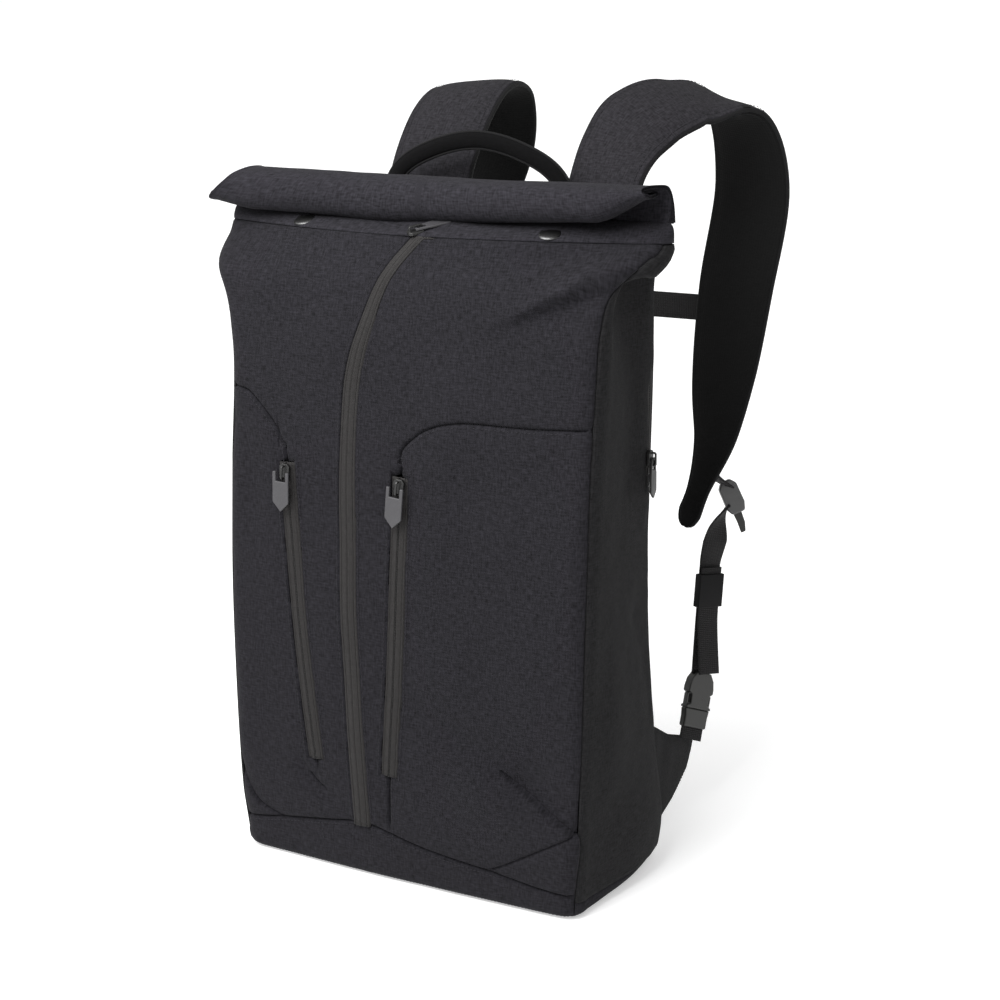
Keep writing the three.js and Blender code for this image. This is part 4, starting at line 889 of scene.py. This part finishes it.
def rollPoints():
    steps = np.linspace(0, len(rollPath) - 1, 88)
    table = np.array(rollPath)
    y = rollShape["middle"] + smoothColumn(table[:, 0], steps) * rollShape["depth"]
    z = rollShape["base"] + smoothColumn(table[:, 1], steps) * rollShape["height"]
    gap = np.maximum(smoothColumn(table[:, 2], steps), 0.9)
    dy, dz = np.gradient(y), np.gradient(z)
    length = np.hypot(dy, dz)
    dy, dz = dy / length, dz / length
    draws = {name: smoothColumn(values, steps) for name, values in endDraw.items()}
    shares = np.concatenate([np.linspace(-3, 3, 201)[:-1]])
    side = np.abs(shares)
    columns = []
    for share, size in zip(shares, side):
        across = 1 if size <= 1 else max(3 - 2 * size, -1)
        rounded = math.copysign(math.sqrt(abs(across)), across) if size > 1 else 1
        end = rollShape["width"] / 2 - (draws["left"] if share < 0 else draws["right"])
        if size <= 1:
            reach = size * end
        elif size < 2:
            reach = end - max(1 - abs(size - 1.5) * 2, 0) * rollShape["fold"]
        else:
            reach = (3 - size) * end
        x = np.sign(share) * reach + rollShape["shift"]
        lean = x / (rollShape["width"] / 2)
        half = rollShape["half"] * gap
        face = 1 if across > 0 else -1
        soft = 0.8 * ripple(x, steps * 9 + face * 40, 120, 41) + 0.3 * ripple(x * 0.6, steps * 12 + face * 70, 30, 43)
        thick = half * rounded + soft * abs(rounded) * 0.5
        px, py = x, y - dz * thick
        pz = z + dy * thick + rollShape["lift"] * lean ** 2
        top = rollShape["base"] + rollShape["height"] + rollShape["lift"] * lean ** 2
        taper = smoothstep(0.74, 1.0, lean) * 0.72
        rising = smoothstep(0.5, 3, steps)
        stretch = 1 + np.interp(lean, [-1, -0.8, -0.2, 0.3, 0.7], [-0.12, 0.12, 0.2, 0.08, -0.06]) * rising
        pz = top - (top - pz) * (stretch - taper * rising)
        py = py + (rollShape["middle"] + 2 - py) * taper * 0.3 * rising
        sag = 1.5 * smoothstep(-0.1, 0.8, -lean) * rising
        columns.append(np.stack([px, py, pz + sag], axis=1))
    roll = np.stack(columns, axis=1)
    rim = bareBag(shares, np.full(len(shares), bagHeight)) + np.array([0, 0, 0.4])
    rimOut = bagNormal(shares, np.full(len(shares), bagHeight - 1)) * np.array([1, 1, 0])
    ridge = overhang(shares, np.full(len(shares), float(bagHeight)), np.where(shares > 0, 9.0, 3.5))
    rim = rim + rimOut * (ridge - 0.9)[:, None]
    start = roll[0]
    slope = []
    for t in (0, 0.03, 0.08, 0.15, 0.25, 0.35, 0.45, 0.55, 0.65, 0.75, 0.85, 0.93):
        bulge = 4 * t * (1 - t)
        row = rim * (1 - t) + start * t
        row[:, 0] = rim[:, 0] * (1 - t ** 3) + start[:, 0] * t ** 3
        soft = 1.0 * ripple(shares * 150, np.full(len(shares), t * 40), 70, 47)
        lift = bulge * (1.6 + soft) + 1.0 * (1 - math.exp(-(t / 0.03) ** 2))
        row = row + np.stack([np.zeros(len(shares)), -0.35 * lift, lift], axis=1)
        slope.append(row)
    return np.concatenate([np.stack(slope), roll]), shares


def addRoll():
    points, shares = rollPoints()
    piece = gridPiece("collar_roll_cloth", points, "collar", closeColumns=True)
    recalculate(piece.data)
    addWall(piece, 0.8)
    fixPiece(piece, ["collar_roll"])


addRoll()
print("collar and roll")


# ---- carrying: padded straps
backFace, strapReach = 66, 180
strapShape = {"width": 71, "thick": 12, "binding": 1.5, "rows": 150, "columns": 22}
strapRoutes = {
    "right": [(0.542, 0.040, 0.802, 0, 0.86), (0.561, 0.061, 0.871, 0, 0.9), (0.581, 0.111, 0.943, -6, 0.92),
              (0.594, 0.144, 1.006, -10, 0.92), (0.600, 0.183, 1.061, -12, 0.93), (0.639, 0.283, 1.115, 0, 0.95),
              (0.716, 0.394, 1.154, 15, 0.97), (0.845, 0.567, 1.172, 22, 0.99), (1.045, 0.733, 1.152, 24, 1),
              (1.077, 0.889, 1.036, 19, 1), (1.013, 0.878, 0.875, 15, 0.97), (1.013, 0.756, 0.739, 18, 0.86),
              (1.032, 0.622, 0.644, 22, 0.6), (0.985, 0.525, 0.562, 22, 0.3), (0.93, 0.489, 0.502, 22, 0.34)],
    "left": [(-0.413, 0.040, 0.802, 0, 0.86), (-0.406, 0.061, 0.871, 0, 0.9), (-0.394, 0.111, 0.943, 0, 0.95),
             (-0.387, 0.144, 1.006, 0, 0.98), (-0.374, 0.217, 1.081, 0, 1), (-0.348, 0.356, 1.152, 0, 1),
             (-0.335, 0.533, 1.186, -4, 1), (-0.361, 0.756, 1.168, -8, 1), (-0.452, 0.911, 1.085, -12, 1),
             (-0.645, 0.956, 0.970, -15, 1), (-0.865, 0.900, 0.851, -15, 0.97), (-0.981, 0.767, 0.739, -18, 0.86),
             (-1.019, 0.622, 0.644, -22, 0.6), (-0.98, 0.525, 0.562, -22, 0.3), (-0.93, 0.489, 0.502, -22, 0.34)],
}


def unit(vectors):
    return vectors / np.maximum(np.linalg.norm(vectors, axis=-1, keepdims=True), 1e-9)


# Centre line, directions and width of a strap at places along its route.
def strapSections(rows, places):
    table = np.array(rows, float)
    def at(place):
        place = np.clip(place, 0, len(table) - 1)
        return np.stack([smoothColumn(table[:, 0], place) * halfWidth, backFace + smoothColumn(table[:, 1], place) * strapReach,
                         smoothColumn(table[:, 2], place) * bagHeight], axis=1)
    along = unit(at(places + 0.05) - at(places - 0.05))
    level = unit(np.array([1.0, 0, 0]) - along * along[:, :1])
    turn = np.radians(smoothColumn(table[:, 3], places))[:, None]
    across = level * np.cos(turn) + np.cross(along, level) * np.sin(turn)
    out = np.cross(along, across)
    return at(places), along, across, out, smoothColumn(table[:, 4], places)


def simulate(piece, pressure, frames, pinned, limit):
    group = piece.vertex_groups.new(name="held")
    group.add([int(i) for i in pinned], 1.0, "REPLACE")
    before = np.array([vertex.co[:] for vertex in piece.data.vertices])
    cloth = piece.modifiers.new("cloth", "CLOTH")
    settings = cloth.settings
    settings.vertex_group_mass = "held"
    settings.use_pressure = True
    settings.uniform_pressure_force = pressure
    settings.effector_weights.gravity = 0
    settings.tension_stiffness = 25
    settings.compression_stiffness = 25
    settings.bending_stiffness = 1.5
    settings.quality = 4
    cloth.point_cache.frame_start, cloth.point_cache.frame_end = 1, frames
    scene = bpy.context.scene
    for number in range(1, frames + 1):
        scene.frame_set(number)
    evaluated = piece.evaluated_get(bpy.context.evaluated_depsgraph_get())
    after = np.array([vertex.co[:] for vertex in evaluated.data.vertices])
    piece.modifiers.remove(cloth)
    piece.vertex_groups.remove(group)
    scene.frame_set(1)
    move = after - before
    size = np.linalg.norm(move, axis=1, keepdims=True)
    cap = limit * millimetre
    move = move * np.minimum(1, cap / np.maximum(size, 1e-9))
    piece.data.vertices.foreach_set("co", (before + move).astype(np.float32).ravel())
    piece.data.update()
    print(piece.name, "swelled by up to %.1f mm" % (float(np.minimum(size, cap).max()) / millimetre))


def addStrap(name):
    rows = strapRoutes[name]
    places = np.linspace(0, len(rows) - 1, strapShape["rows"])
    centre, along, across, out, share = strapSections(rows, places)
    count = strapShape["columns"]
    spread = np.cos(np.linspace(0, math.pi, count))
    width = strapShape["width"] * share / 2
    thick = strapShape["thick"] / 2 * np.minimum(1, 0.5 + share * 0.6)
    last = np.arange(len(places)) / (len(places) - 1)
    tip = np.sqrt(np.clip((1 - last) / 0.035, 0.02, 1))
    crown = 0.45 + 0.5 * (1 - np.abs(spread) ** 3.2)
    crown = np.where(np.abs(spread) > 0.995, 0.12, crown)
    seam = np.exp(-((np.abs(spread) - 0.86) / 0.035) ** 2) * 0.22
    crown = crown - seam
    ring = []
    for face in (1, -1):
        order = range(count) if face > 0 else range(count - 2, 0, -1)
        for column in order:
            side = centre + across * (width * spread[column] * np.where(last > 0.96, tip, 1))[:, None]
            ring.append(side + out * (face * thick * crown[column] * tip)[:, None])
    points = np.stack(ring, axis=1)
    piece = gridPiece(f"shoulder_strap_{name}_pad", points, "strap", closeColumns=True, caps=True)
    recalculate(piece.data)
    edge = [row * points.shape[1] + column for row in range(len(places)) for column in (0, 1, 2, count - 3, count - 2, count - 1, count,
            count + 1, points.shape[1] - 1, points.shape[1] - 2)]
    edge += [column for column in range(points.shape[1] * 4)] + [len(piece.data.vertices) - 1 - i for i in range(points.shape[1] * 3)]
    simulate(piece, 3.0, 14, sorted(set(edge)), 2.4)
    piece.data.materials.append(materials["mesh"])
    centres = np.array([polygon.center[:] for polygon in piece.data.polygons]) / millimetre
    nearest = np.linalg.norm(centres[:, None, :] - centre[None, ::3, :], axis=2).argmin(axis=1) * 3
    inner = ((centres - centre[nearest]) * out[nearest]).sum(1) > 0.6
    piece.data.polygons.foreach_set("material_index", inner.astype(int))
    piece.data.update()
    smooth = piece.modifiers.new("smooth", "SUBSURF")
    smooth.levels = smooth.render_levels = 1
    fixPiece(piece, [f"shoulder_strap_{name}"])
    trim = []
    for side in (1, -1):
        line = centre + across * (side * width * np.where(last > 0.96, tip, 1))[:, None]
        trim.append(line)
    for side, line in zip(("outer", "inner"), trim):
        binding = tubePiece(f"strap_binding_{name}_{side}", line, across, out, strapShape["binding"] * 0.9, strapShape["binding"] * 1.25, "binding")
        fixPiece(binding)
    lines, outs = [], []
    keep = slice(6, int(len(places) * 0.93))
    for side in (-1, 1):
        sunk = thick * 0.62
        lines.append((centre + across * (side * width * 0.86)[:, None] - out * sunk[:, None] * 1.12)[keep])
        outs.append(-out[keep])
    addStitches(f"strap_stitches_{name}", lines, outs)


# A round or oval tube along a line, with closed ends.
def tubePiece(name, line, across, out, halfAcross, halfOut, material, sides=10):
    angles = np.linspace(0, 2 * math.pi, sides, endpoint=False)
    wide = np.broadcast_to(np.asarray(halfAcross, float), (len(line),))
    deep = np.broadcast_to(np.asarray(halfOut, float), (len(line),))
    ring = [line + across * (wide * math.cos(angle))[:, None] + out * (deep * math.sin(angle))[:, None] for angle in angles]
    piece = gridPiece(name, np.stack(ring, axis=1), material, closeColumns=True, caps=True)
    recalculate(piece.data)
    return piece


for strapSide in ("right", "left"):
    addStrap(strapSide)
print("shoulder straps")


# ---- haul handle
handleShape = {"radius": 6.5, "span": 164, "rise": 95, "shift": -3, "foot": 0.93}
handleRows = [(0, 1), (0.23, 0.92), (0.415, 0.73), (0.497, 0.37), (0.5, 0)]


def addHandle():
    foot = bagHeight * handleShape["foot"]
    seat = float(bareBag(2.5, foot)[1]) + 0.3 + handleShape["radius"] * 0.92
    behind = backFace + 0.3 + handleShape["radius"]
    rows = [(-side, rise) for side, rise in reversed(handleRows[1:])] + handleRows
    table = np.array([(side * handleShape["span"] + handleShape["shift"], seat if rise == 0 else behind, foot + rise * handleShape["rise"])
                      for side, rise in rows])
    place = np.linspace(0, len(table) - 1, 110)
    line = np.stack([smoothColumn(table[:, i], place) for i in range(3)], axis=1)
    along = unit(np.gradient(line, axis=0))
    out = unit(np.array([0, 1.0, 0]) - along * along[:, 1:2])
    across = np.cross(along, out)
    radius = handleShape["radius"]
    ends = np.minimum(np.arange(110), np.arange(110)[::-1]) / 14
    flat = np.clip(ends, 0, 1)
    angles = np.linspace(0, 2 * math.pi, 28, endpoint=False)
    ring = []
    for angle in angles:
        fold = 0.05 * math.cos(angle * 3)
        wide = radius * (1.0 + fold) * (1 + 0.35 * (1 - flat))
        deep = radius * (0.78 + 0.05 * math.cos(angle * 2)) * (0.5 + 0.5 * flat)
        ring.append(line + across * (wide * math.cos(angle))[:, None] + out * (deep * math.sin(angle))[:, None])
    points = np.stack(ring, axis=1)
    piece = gridPiece("haul_handle_pad", points, "handle", closeColumns=True, caps=True)
    recalculate(piece.data)
    held = [row * 28 + column for row in range(110) for column in (7, 21)] + list(range(28 * 3)) + [109 * 28 + i - 56 for i in range(84)]
    simulate(piece, 2.0, 10, sorted(set(i for i in held if 0 <= i < len(piece.data.vertices))), 1.0)
    smooth = piece.modifiers.new("smooth", "SUBSURF")
    smooth.levels = smooth.render_levels = 1
    fixPiece(piece, ["haul_handle"])
    edges = [line + across * (side * radius * 0.98) + out * -1.5 for side in (1, -1)]
    for label, edge in zip(("outer", "inner"), edges):
        piping = tubePiece(f"handle_piping_{label}", edge[4:-4], across[4:-4], out[4:-4], 1.1, 1.3, "binding")
        fixPiece(piping)


addHandle()
print("haul handle")


# ---- webbing
webbingShape = {"width": 22, "thick": 1.8}


def bandPiece(name, places, acrosses, nodes, width=webbingShape["width"], steps=26):
    places, acrosses = np.array(places, float), np.array(acrosses, float)
    place = np.linspace(0, len(places) - 1, steps * (len(places) - 1) // 2 + 2)
    line = np.stack([smoothColumn(places[:, i], place) for i in range(3)], axis=1)
    across = np.stack([np.interp(place, range(len(places)), acrosses[:, i]) for i in range(3)], axis=1)
    along = unit(np.gradient(line, axis=0))
    across = unit(across - along * (across * along).sum(1, keepdims=True))
    out = np.cross(along, across)
    half = width / 2
    deep = webbingShape["thick"] / 2
    section = [(1, 0), (0.97, 0.7), (0.9, 1), (0.45, 0.93), (0, 0.9), (-0.45, 0.93), (-0.9, 1), (-0.97, 0.7), (-1, 0),
               (-0.97, -0.7), (-0.9, -1), (-0.45, -0.93), (0, -0.9), (0.45, -0.93), (0.9, -1), (0.97, -0.7)]
    ring = [line + across * (half * a) + out * (deep * b) for a, b in section]
    piece = gridPiece(name, np.stack(ring, axis=1), "webbing", closeColumns=True, caps=True)
    recalculate(piece.data)
    fixPiece(piece, nodes)


hardware = {"lock": (1.116, 0.663, 0.53), "lockFrom": (1.06, 0.62, 0.63), "buckle": (1, 0.567, 0.197), "wingTip": (1, 0.49, 0.137),
            "keeper": (1, 0.68, 0.376), "keeperLength": 28, "buckleLength": 44, "lockLength": 32, "tail": 0.99}


def addWebbing(name, side):
    def at(key):
        x, y, z = hardware[key]
        return np.array([side * x * halfWidth, backFace + y * strapReach, z * bagHeight])
    def square(across, along):
        return unit(across - along * (across @ along))
    lock, keeper, buckle, tip = at("lock"), at("keeper"), at("buckle"), at("wingTip")
    lockAlong = unit(lock - at("lockFrom"))
    lockAcross = square(unit(np.array([0.77 * side, -0.62, 0.15])), lockAlong)
    low = unit(np.array([0.5 * side, 0.8, -0.3]))
    along = unit(tip - buckle)
    lowAcross = square(low, along)
    out = unit(np.cross(lowAcross, along))
    down = unit(np.array([0, -0.15, -1.0]))
    keeperAcross = square(low, down)
    keeperOut = unit(np.cross(keeperAcross, down))
    socket = buckle - along * hardware["buckleLength"] * 0.21
    socketTop = socket - along * (hardware["buckleLength"] * 0.29 + 0.3)
    spread = (webbingShape["thick"] + 0.3) / 2
    reach = hardware["keeperLength"]
    mirror = np.array([side, 1, 1])
    bandPiece(f"strap_webbing_{name}_band", [mirror * (171, 187, 270), mirror * (162.5, 187, 253), mirror * (159.5, 187, 234),
              keeper - down * reach * 0.8 + keeperOut * spread, keeper + keeperOut * spread,
              keeper + down * reach * 0.9 + keeperOut * spread, socketTop],
              [mirror * (-0.35, 0.9, 0.1), mirror * (0.15, 0.95, 0), mirror * (0.7, 0.68, -0.1), keeperAcross, keeperAcross, keeperAcross,
               lowAcross * (1 if lowAcross @ keeperAcross > 0 else -1)],
              [f"strap_webbing_{name}"])
    bandPiece(f"webbing_tail_{name}_band", [keeper - down * reach * 0.7 - keeperOut * spread, keeper - keeperOut * spread,
              keeper + down * reach - keeperOut * spread * 1.6, keeper + (socketTop - keeper) * hardware["tail"] - keeperOut * spread * 9],
              [keeperAcross] * 4, [f"webbing_tail_{name}"])
    plugFoot = buckle + along * hardware["buckleLength"] * 0.28 + along * (hardware["buckleLength"] * 0.19 + 0.3)
    bandPiece(f"anchor_webbing_{name}_band", [plugFoot, tip + along * 2], [lowAcross] * 2, [f"anchor_webbing_{name}"],
              width=24, steps=6)
    rows = strapRoutes[name]
    places = np.linspace(11.6, 12.6, 5)
    centre, sAlong, sAcross, sOut, share = strapSections(rows, places)
    rise = -(strapShape["thick"] / 2) * np.minimum(1, 0.5 + share * 0.6) - webbingShape["thick"] / 2 - 0.6
    sewn = centre + sOut * rise[:, None]
    lockTop = lock - lockAlong * (hardware["lockLength"] / 2 + 0.9)
    flip = 1 if lockAcross @ sAcross[-1] > 0 else -1
    bandPiece(f"adjuster_tape_{name}_band", [*sewn, lockTop], [*sAcross, lockAcross * flip], [f"adjuster_tape_{name}"],
              steps=10)


for strapName, strapSign in (("right", 1), ("left", -1)):
    addWebbing(strapName, strapSign)


def addSternum():
    for name in ("left", "right"):
        low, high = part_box(f"sternum_strap_{name}")
        low, high = np.array(low) / millimetre, np.array(high) / millimetre
        middle = (low + high) / 2
        start, end = np.array([low[0], middle[1], middle[2]]), np.array([high[0], middle[1], middle[2]])
        bandPiece(f"sternum_strap_{name}_band", [start, (start + end) / 2, end], [(0, 0, 1)] * 3, [f"sternum_strap_{name}"])


addSternum()
print("webbing")


# ---- wings at the foot of the back
wingShape = {"thick": 1.0, "puff": 1.5, "step": 3.2}
wingOutline = [(0.02, 0.03), (0.1, 0.03), (0.21, 0.031), (0.36, 0.043), (0.54, 0.072), (0.615, 0.112), (0.58, 0.13), (0.46, 0.143),
               (0.29, 0.168), (0.1, 0.208), (0.0, 0.232)]


def addWing(name, side):
    outline = np.array([(backFace + y * strapReach, z * bagHeight) for y, z in wingOutline])
    dense = []
    for i in range(len(outline)):
        start, end = outline[i], outline[(i + 1) % len(outline)]
        count = max(int(np.linalg.norm(end - start) / 2.5), 1)
        dense += [start + (end - start) * k / count for k in range(count)]
    dense = np.array(dense)
    low, high = outline.min(0), outline.max(0)
    grid = [(y, z) for z in np.arange(low[1], high[1], wingShape["step"]) for y in np.arange(low[0], high[0], wingShape["step"])]
    closedLine = np.vstack([dense, dense[:1]])
    distance = lineDistance(grid, closedLine)[0]
    inner = [point for point, gap in zip(grid, distance) if gap > 1.6]
    rim = np.array([dense.mean(0) + (point - dense.mean(0)) * 0.985 for point in dense])
    vertices = [Vector(point) for point in dense] + [Vector(point) for point in rim] + [Vector(point) for point in inner]
    edges = [(i, (i + 1) % len(dense)) for i in range(len(dense))]
    placed, made, faces, *rest = delaunay_2d_cdt(vertices, edges, [], 1, 1e-3)
    flat = np.array([tuple(vertex) for vertex in placed])
    gap = lineDistance(flat, closedLine)[0]
    onEdge = gap < 0.05
    swell = np.where(onEdge, 0, wingShape["thick"] + wingShape["puff"] * (1 - np.exp(-(gap / 7) ** 2)))
    swell = swell - np.where(onEdge, 0, 0.5 * np.exp(-((gap - 5) / 1.0) ** 2))
    soft = 0.5 * ripple(flat[:, 0], flat[:, 1], 45, 51)
    middle = side * halfWidth * 0.955
    points, faceList, other = [], [], {}
    for i, (y, z) in enumerate(flat):
        points.append((middle + side * (swell[i] + soft[i] * (not onEdge[i])), y, z))
    for i, (y, z) in enumerate(flat):
        if onEdge[i]:
            other[i] = i
        else:
            other[i] = len(points)
            points.append((middle - side * (swell[i] - soft[i]), y, z))
    for face in faces:
        faceList.append(tuple(face))
        faceList.append(tuple(reversed([other[i] for i in face])))
    uv = [(point[1], point[2]) for point in points]
    piece = makePiece(f"strap_wing_{name}_pad", points, faceList, uv, "side")
    recalculate(piece.data)
    fixPiece(piece, [f"strap_wing_{name}"])
    line = np.array([dense.mean(0) + (point - dense.mean(0)) * 0.93 for point in outline[1:]])
    place = np.linspace(0, len(line) - 1, 60)
    line = np.stack([smoothColumn(line[:, 0], place), smoothColumn(line[:, 1], place)], axis=1)
    sides = [np.stack([np.full(len(line), middle + s * side * 1.75), line[:, 0], line[:, 1]], axis=1) for s in (1, -1)]
    addStitches(f"wing_stitches_{name}", sides, [np.tile([s * side, 0.0, 0.0], (len(line), 1)) for s in (1, -1)])


for wingName, wingSign in (("right", 1), ("left", -1)):
    addWing(wingName, wingSign)
print("wings")


# ---- moulded pieces: the solids' own shapes with softened edges
def soften(node, material, width, carrier=body):
    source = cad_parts[node]
    mesh = source.data.copy()
    mesh.name = node + "_moulded"
    mesh.materials.clear()
    mesh.materials.append(materials[material])
    shape = bmesh.new()
    shape.from_mesh(mesh)
    bmesh.ops.remove_doubles(shape, verts=shape.verts, dist=2e-6)
    bmesh.ops.dissolve_limit(shape, angle_limit=0.03, verts=shape.verts, edges=shape.edges)
    shape.to_mesh(mesh)
    shape.free()
    mesh.polygons.foreach_set("use_smooth", [True] * len(mesh.polygons))
    piece = bpy.data.objects.new(node + "_moulded", mesh)
    bpy.context.scene.collection.objects.link(piece)
    bevel = piece.modifiers.new("edges", "BEVEL")
    bevel.width = width * millimetre
    bevel.segments = 3
    bevel.limit_method = "ANGLE"
    bevel.angle_limit = math.radians(35)
    bevel.harden_normals = True
    fixPiece(piece, [node], carrier)
    return piece


# A moulded plate: an outline across and along its own axes, with rounded edges.
def platePiece(name, outline, centre, across, along, thickness, edge, material, nodes=()):
    out = np.cross(across, along)
    outline = np.array(outline, float)
    flat = centre + outline[:, :1] * across + outline[:, 1:] * along
    count = len(outline)
    points = np.concatenate([flat - out * thickness / 2, flat + out * thickness / 2])
    faces = [tuple(reversed(range(count))), tuple(range(count, 2 * count))]
    faces += [(i, (i + 1) % count, count + (i + 1) % count, count + i) for i in range(count)]
    piece = makePiece(name, points, faces, None, material)
    recalculate(piece.data)
    bevel = piece.modifiers.new("edges", "BEVEL")
    bevel.width = edge * millimetre
    bevel.segments = 3
    bevel.harden_normals = True
    return fixPiece(piece, nodes)


lockOutline = [(-4, -16), (4, -16), (8, -11), (8.5, 6), (6, 13), (-5, 13), (-8, 7), (-8, -11)]
leverOutline = [(-2.5, 11), (5, 11), (4, 24), (1.5, 31), (-2.5, 31), (-2, 22)]
socketOutline = [(-8, -14), (8, -14), (12, -8), (13.5, -1), (13.5, 3), (10, 5), (9.5, 13), (13.5, 15), (13.5, 17), (-13.5, 17),
                 (-13.5, 15), (-9.5, 13), (-10, 5), (-13.5, 3), (-13.5, -1), (-12, -8)]
armOutline = [(11.3, 4), (13.3, 5), (13.2, 16), (11.3, 16)]
plugOutline = [(-13.5, 16.9), (13.5, 16.9), (12.5, 24), (12.5, 33), (-12.5, 33), (-12.5, 24)]


def addBuckles(name, side):
    mirror = np.array([side, 1, 1])
    along = unit(np.array([0.42, 0.05, -0.9]))
    across = np.array([0.75, 0.62, 0.3])
    across = unit(across - along * (across @ along))
    centre = np.array([173.5, 186, 273.0])
    platePiece(f"lock_{name}", lockOutline, centre * mirror, across * mirror, along * mirror, 5.5, 1.6, "lock",
               [f"ladder_lock_{name}"])
    platePiece(f"lock_lever_{name}", leverOutline, (centre + (-3, 1.5, 0)) * mirror, across * mirror, along * mirror, 2.6, 0.8, "plastic")
    buckle = np.array([side * hardware["buckle"][0] * halfWidth, backFace + hardware["buckle"][1] * strapReach,
                       hardware["buckle"][2] * bagHeight])
    tip = np.array([side * hardware["wingTip"][0] * halfWidth, backFace + hardware["wingTip"][1] * strapReach,
                    hardware["wingTip"][2] * bagHeight])
    along = unit(tip - buckle)
    across = np.array([0.5 * side, 0.8, -0.3])
    across = unit(across - along * (across @ along))
    centre = buckle - along * 8
    platePiece(f"socket_{name}", socketOutline, centre, across, along, 8.5, 1.8, "plastic", [f"buckle_socket_{name}"])
    platePiece(f"plug_{name}", plugOutline, centre, across, along, 7, 1.5, "plastic", [f"buckle_plug_{name}"])
    for label, sign in (("front", 1), ("rear", -1)):
        arm = [(sign * a, l) for a, l in armOutline]
        platePiece(f"plug_arm_{name}_{label}", arm, centre, across, along, 4.5, 0.6, "plastic")


for hardSide, hardSign in (("right", 1), ("left", -1)):
    addBuckles(hardSide, hardSign)
    soften(f"roll_snap_{hardSide}", "metal", 0.25)
    keeperPiece = soften(f"strap_keeper_{hardSide}", "plastic", 0.5)
    keeperPiece.data.materials[0] = materials["binding"]
soften("sternum_clasp", "plastic", 1.2)
for zipName in ("pocket_zip_left", "pocket_zip_right", "main_zip", "side_zip"):
    soften(zipName + "_slider", "coil", 0.35)
    carrier = zipName + "_pull" if zipName != "main_zip" else body
    if zipName in ("main_zip", "side_zip"):
        soften(zipName + "_pull", "pull" if zipName == "main_zip" else "coil", 0.45, carrier)


# The pocket zips' pulls: blank plates with a forked head and a pointed foot.
pullOutline = [(-7, -15), (-4.2, -15), (-4.2, -7.5), (4.2, -7.5), (4.2, -15), (7, -15), (7, 9), (0, 16.5), (-7, 9)]


def addPull(name, lean):
    low, high = (np.array(corner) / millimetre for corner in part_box(name))
    centre = np.array([(low[0] + high[0]) / 2, low[1] - 0.2, (low[2] + high[2]) / 2])
    along = unit(np.array([lean, 0.02, -1.0]))
    across = unit(np.array([1.0, 0, lean]))
    piece = platePiece(name + "_plate", pullOutline, centre, across, along, 2.2, 0.7, "pull", [name])
    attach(piece, name)


addPull("pocket_zip_left_pull", -0.05)
addPull("pocket_zip_right_pull", -0.1)


# The zip at the rear of the right side.
sideZip = {"around": 1.86, "half": 0.055, "from": 0.645, "length": 0.17, "lift": 1.8}


def sidePlane(line, lift):
    around = sideZip["around"] + line[:, 0] / 100
    return bareBag(around, line[:, 1]) + bagNormal(around, line[:, 1]) * (sideZip["lift"] + lift)


def sideOut(line):
    return bagNormal(np.full(len(line), sideZip["around"]), line[:, 1])


sideHeights = np.linspace(sideZip["from"], sideZip["from"] + sideZip["length"], 50) * bagHeight
addZip("side_zip_tape", np.stack([np.zeros(50), sideHeights], axis=1), ["side_zip"], sidePlane, sideOut, 0, bagHeight)
print("hardware and the side zip")


# ---- floor, light and camera
studio = {"camera": (0.61808, -1.14337, 0.66031), "target": (0.042756, 0.018693, 0.29729), "lens": 62.98, "floor": 0.9, "sky": 0.6, "glow": 0.38}


def addStudio():
    bpy.ops.mesh.primitive_plane_add(size=90, location=(0, 0, -0.0005))
    floor = bpy.context.object
    floor.name = "floor"
    material, graph = newMaterial("floor")
    place = graph.outlet(graph.add("ShaderNodeTexCoord"), "Object")
    speck = graph.add("ShaderNodeTexNoise", None, {"Vector": place, "Scale": 40, "Detail": 2})
    closeMaterial(graph, {"Base Color": colour(studio["floor"]), "Roughness": 0.7 + (speck - 0.5) * 0.05, "Specular IOR Level": 0.1,
                          "Emission Color": colour(1.0), "Emission Strength": studio["glow"]})
    floor.data.materials.append(material)
    world = bpy.data.worlds.new("studio")
    bpy.context.scene.world = world
    world.use_nodes = True
    sky = Graph(world.node_tree)
    direction = sky.outlet(sky.add("ShaderNodeTexCoord"), "Generated")
    climb = sky.outlet(sky.add("ShaderNodeSeparateXYZ", None, {0: direction}), "Z")
    band = sky.add("ShaderNodeMapRange", {"interpolation_type": "SMOOTHSTEP"}, {0: climb, 1: 0.03, 2: 0.3, 3: 1.03, 4: studio["sky"]})
    sky.add("ShaderNodeOutputWorld", None, {"Surface": sky.add("ShaderNodeBackground", None, {"Color": (1, 1, 1, 1), "Strength": band})})
    lamps = [
        {"name": "sun", "kind": "SUN", "place": (-0.45, -0.6, 0.95), "size": math.radians(60), "power": 1.6},
        {"name": "top", "kind": "AREA", "place": (-0.1, -0.55, 1.02), "size": 0.6, "power": 12},
    ]
    for lamp in lamps:
        data = bpy.data.lights.new(lamp["name"], lamp["kind"])
        data.energy = lamp["power"]
        setattr(data, "angle" if lamp["kind"] == "SUN" else "size", lamp["size"])
        light = bpy.data.objects.new(lamp["name"], data)
        light.location = lamp["place"]
        aim = Vector((0, 0, 0.3)) - Vector(lamp["place"])
        light.rotation_euler = aim.to_track_quat("-Z", "Y").to_euler()
        bpy.context.scene.collection.objects.link(light)
    camera = bpy.data.cameras.new("camera")
    camera.lens = studio["lens"]
    camera.sensor_width = 36
    holder = bpy.data.objects.new("camera", camera)
    holder.location = studio["camera"]
    holder.rotation_euler = (Vector(studio["target"]) - Vector(studio["camera"])).to_track_quat("-Z", "Y").to_euler()
    bpy.context.scene.collection.objects.link(holder)
    bpy.context.scene.camera = holder
    bpy.context.scene.view_settings.view_transform = "Standard"


addStudio()
print("studio")
